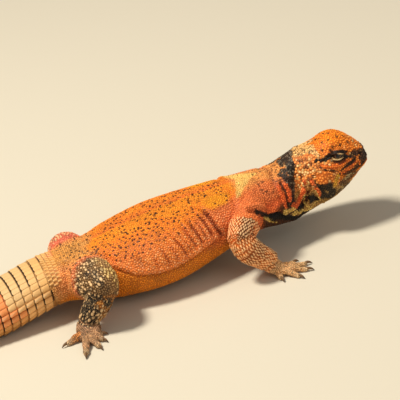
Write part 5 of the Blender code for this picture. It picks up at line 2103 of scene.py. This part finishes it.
# How far the scutes' tops, heels and front edges are sunk under the tail's surface
TOP_SUNK = -0.75
HEEL_SUNK = -0.72
FRONT_SUNK = -1.15


def scute_faces():
    """Faces of one closed scute: its top, the point behind, the rear, front and sides."""
    def strip(a, b):
        return [(a[k], a[k + 1], b[k + 1], b[k]) for k in range(WIDE - 1)]

    rows = [list(range(i * WIDE, (i + 1) * WIDE)) for i in range(LONG)]
    tip = LONG * WIDE
    heel = [tip + 1 + k for k in range(WIDE)]
    base = [heel[-1] + 1 + k for k in range(WIDE)]
    faces = [face for a, b in zip(rows, rows[1:]) for face in strip(a, b)]
    faces += [(rows[-1][k], rows[-1][k + 1], tip) for k in range(WIDE - 1)]
    faces += [(tip, heel[k + 1], heel[k]) for k in range(WIDE - 1)]
    faces += [(rows[-1][0], tip, heel[0]), (tip, rows[-1][-1], heel[-1])]
    faces += strip(heel, base) + strip(base, rows[0])
    faces.append(tuple([row[0] for row in rows] + [heel[0], base[0]]))
    faces.append(tuple(reversed([row[-1] for row in rows] + [heel[-1], base[-1]])))
    return faces


def whorl_cuts(ring, count, offset):
    """Angles that cut a whorl into scutes of even width."""
    dense = np.linspace(-90, 270, 721)
    travel = travel_along(ring.ring_points(np.full(len(dense), 2), np.radians(dense)))
    places = (np.arange(count + 1) + offset) / count * travel[-1] % travel[-1]
    return np.interp(places, travel, dense)


def scute(ring, low, middle, half, girdle, side, rng):
    """One scute's points, and how near to its crest each is; side is 1 where it bulges most."""
    short = low < FIRST_WHORL
    far = math.exp(-(((girdle - 34) / 20) ** 2))
    lower = float(smoothstep(-4, -16, np.array(girdle)))
    big = 1 + (0.4 * rng.random() - 0.2) * (0.3 + 0.7 * side)
    thin = np.interp(low, (0, 9, 60, 142), (0.7, 1.0, 1.0, 0.55))
    bulge = min((0.07 + 0.9 * side + 0.3 * lower + 0.5 * short) * big, 1.0)
    keel = (0.02 + 0.42 * side + 0.1 * lower + 0.3 * short) * big * thin
    spine = (0.18 + 0.5 * side + 0.3 * far + 0.35 * short) * big * thin

    turn = np.radians(middle + ACROSS * half * (0.999 - 0.012 * side - 0.55 * short * AHEAD**2))
    top = ring.ring_points(ROW, turn, TOP_SUNK)
    outward = unit(top - ring.middle[ROW])
    swell = 1 - bulge * np.abs(ACROSS) ** 3
    height = 0.1 + thin * (0.86 + 0.25 * side) * swell * (0.2 + 0.8 * AHEAD**0.8)
    height = height + keel * (1 - np.abs(ACROSS)) * AHEAD

    rear = ring.ring_points(np.array([LONG]), np.radians([middle]), TOP_SUNK)[0]
    away = unit(rear - ring.middle[LONG])
    back = unit(ring.middle[LONG] - ring.middle[0])
    tip = rear + away * (height[-3] - 0.05 + spine * 0.25) + back * spine
    under = np.radians(middle + SCUTE_WIDTHS * half)
    heels = ring.ring_points(np.full(WIDE, LONG), under, HEEL_SUNK)
    bases = ring.ring_points(np.full(WIDE, 0), under, FRONT_SUNK)
    points = np.vstack([top + outward * height[:, None], tip[None], heels, bases])
    points[:, 2] = np.maximum(points[:, 2], 0.1)

    # Crest values, which set the material's painted shade and light: low at the front rows and at the outer
    # edges of bulging scutes, raised on the middle of the bulges as a painted highlight.
    shine = 0.05 + 0.83 * smoothstep(0.11, 0.24, AHEAD) - 0.3 * bulge * np.abs(ACROSS) ** 3
    shine += 0.12 * side * (1 - np.abs(ACROSS)) * AHEAD
    return points, np.concatenate([shine, [1.0], np.zeros(WIDE * 2)])


def scute_plan(place, middle):
    """Where one scute's points lie on the flat plan."""
    root = tail_plan(place, (middle + 180) % 360 - 180)
    local = np.stack([
        np.concatenate([AHEAD, [1.2], [1.1] * WIDE, [0] * WIDE]) - 0.5,
        np.concatenate([ACROSS, [0.0], SCUTE_WIDTHS, SCUTE_WIDTHS]),
    ], 1)
    return root + local * BAKE_PATCH * 0.45


def tail_whorls(finish):
    """Rings of scutes that overlap the next whorl, smooth above and bulging at the sides."""
    pattern = scute_faces()
    rng = np.random.default_rng(12)
    edges = np.append(SHORT_WHORLS, WHORLS)
    points, crest, faces, plans, tones = [], [], [], [], []
    for low, high in zip(edges, edges[1:]):
        short = low < FIRST_WHORL
        count = round(SCUTES_ROUND * np.interp(low, (8.0, 8.9, 60, 140), (1.5, 1.0, 1.0, 0.6)))
        ring = at_places(TAIL_PATH, low + (high - low) * np.append(SCUTE_STEPS, 1.0))
        cuts = whorl_cuts(ring, count, 0.5 * (short and low != SHORT_WHORLS[1]))
        for first_cut, last_cut in zip(cuts, cuts[1:]):
            middle, half = (first_cut + last_cut) / 2, (last_cut - first_cut) / 2
            girdle = 90 - abs((middle - 90 + 180) % 360 - 180)
            if half < 0 or (short and girdle < 14):
                continue
            side = math.exp(-(((girdle - 7) / 14) ** 2))
            part, shine = scute(ring, low, middle, half, girdle, side, rng)
            faces += [tuple(len(points) * SCUTE_POINTS + i for i in face) for face in pattern]
            points.append(part)
            crest.append(shine)
            plans.append(scute_plan((low + high) / 2, middle))
            tones.append(1 + rng.normal(0, 0.025 + 0.04 * side))
    points, crest = np.array(points), np.concatenate(crest)
    tone = tail_colour(Where(points[:, LONG * WIDE // 2])) * np.array(tones)[:, None]
    # Painted highlight on the spines' tips and the crests of the bulging scutes, and painted shadow over
    # the low front of each scute, under the rear edge of the whorl before it.
    tone = laid(
        np.repeat(tone, SCUTE_POINTS, axis=0),
        (smoothstep(0.9, 1.0, crest) * 0.4, (250, 226, 182)),
        (smoothstep(0.35, 0.1, crest) * 0.85, (84, 50, 20)),
    )
    obj = mesh_object("tail_whorl_scutes", points.reshape(-1, 3), faces)
    set_colours(obj, np.clip(tone, 0, 1))
    set_crest(obj, crest)
    set_bake_map(obj, np.vstack(plans))
    obj.data.shade_smooth()
    obj.data.materials.append(finish)
    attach(obj, "root")


# Putting the pieces together

SIDES = (("right", -1), ("left", 1))
LENGTHS = ("upper_arm", "forearm", "hand", "thigh", "shank", "foot")
FLESH = ["head", "lower_jaw", "neck", "torso", "tail_base", "tail_middle", "tail_rear", "tail_tip"]
FLESH += [f"{length}_{side_name}" for side_name, side in SIDES for length in LENGTHS]


def main():
    make_camera()
    make_floor()
    make_light()
    skin = make_skin()
    set_colours(skin, hide_colour(Where(points_of(skin))))
    # The skin lies low between the scales, so its crest gives it the material's painted valley shade.
    set_crest(skin, 0.35)
    skin.data.shade_smooth()
    skin.data.materials.append(hide_material("hide", {"Valley Shade": 0.5, "Crest Light": 0.1}, 0.5))
    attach(skin, "root")
    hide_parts(*FLESH)

    painted_shading = (
        ("trunk", {"Valley Shade": 0.5, "Crest Light": 0.16}),
        ("head", {"Valley Shade": 0.62, "Crest Light": 0.18}),
        ("arm", {"Valley Shade": 0.8, "Crest Light": 0.1, "Tip Share": 0.62, "Tip Start": 0.62}),
        ("leg", {"Valley Shade": 0.65, "Crest Light": 0.15, "Tip Share": 0.12, "Tip Start": 0.5}),
    )
    scales = {place: hide_material(f"{place}_scales", values, 0.3) for place, values in painted_shading}
    grow_coats(Skin(skin), scales)
    tail_whorls(hide_material("tail_scutes", {"Valley Shade": 0.5, "Crest Light": 0.15}, 0.3))

    horn = hide_material("horn", {"Valley Shade": 0.2, "Crest Light": 0.1}, 0.2)
    glass = eye_material()
    for side_name, side in SIDES:
        eye = eye_piece(side)
        eye.data.materials.append(glass)
        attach(eye, "root")
        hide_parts(f"eye_{side_name}")
        for kind in ("arm", "leg"):
            claws = make_claws(side, kind)
            claws.data.materials.append(horn)
            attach(claws, "root")


main()
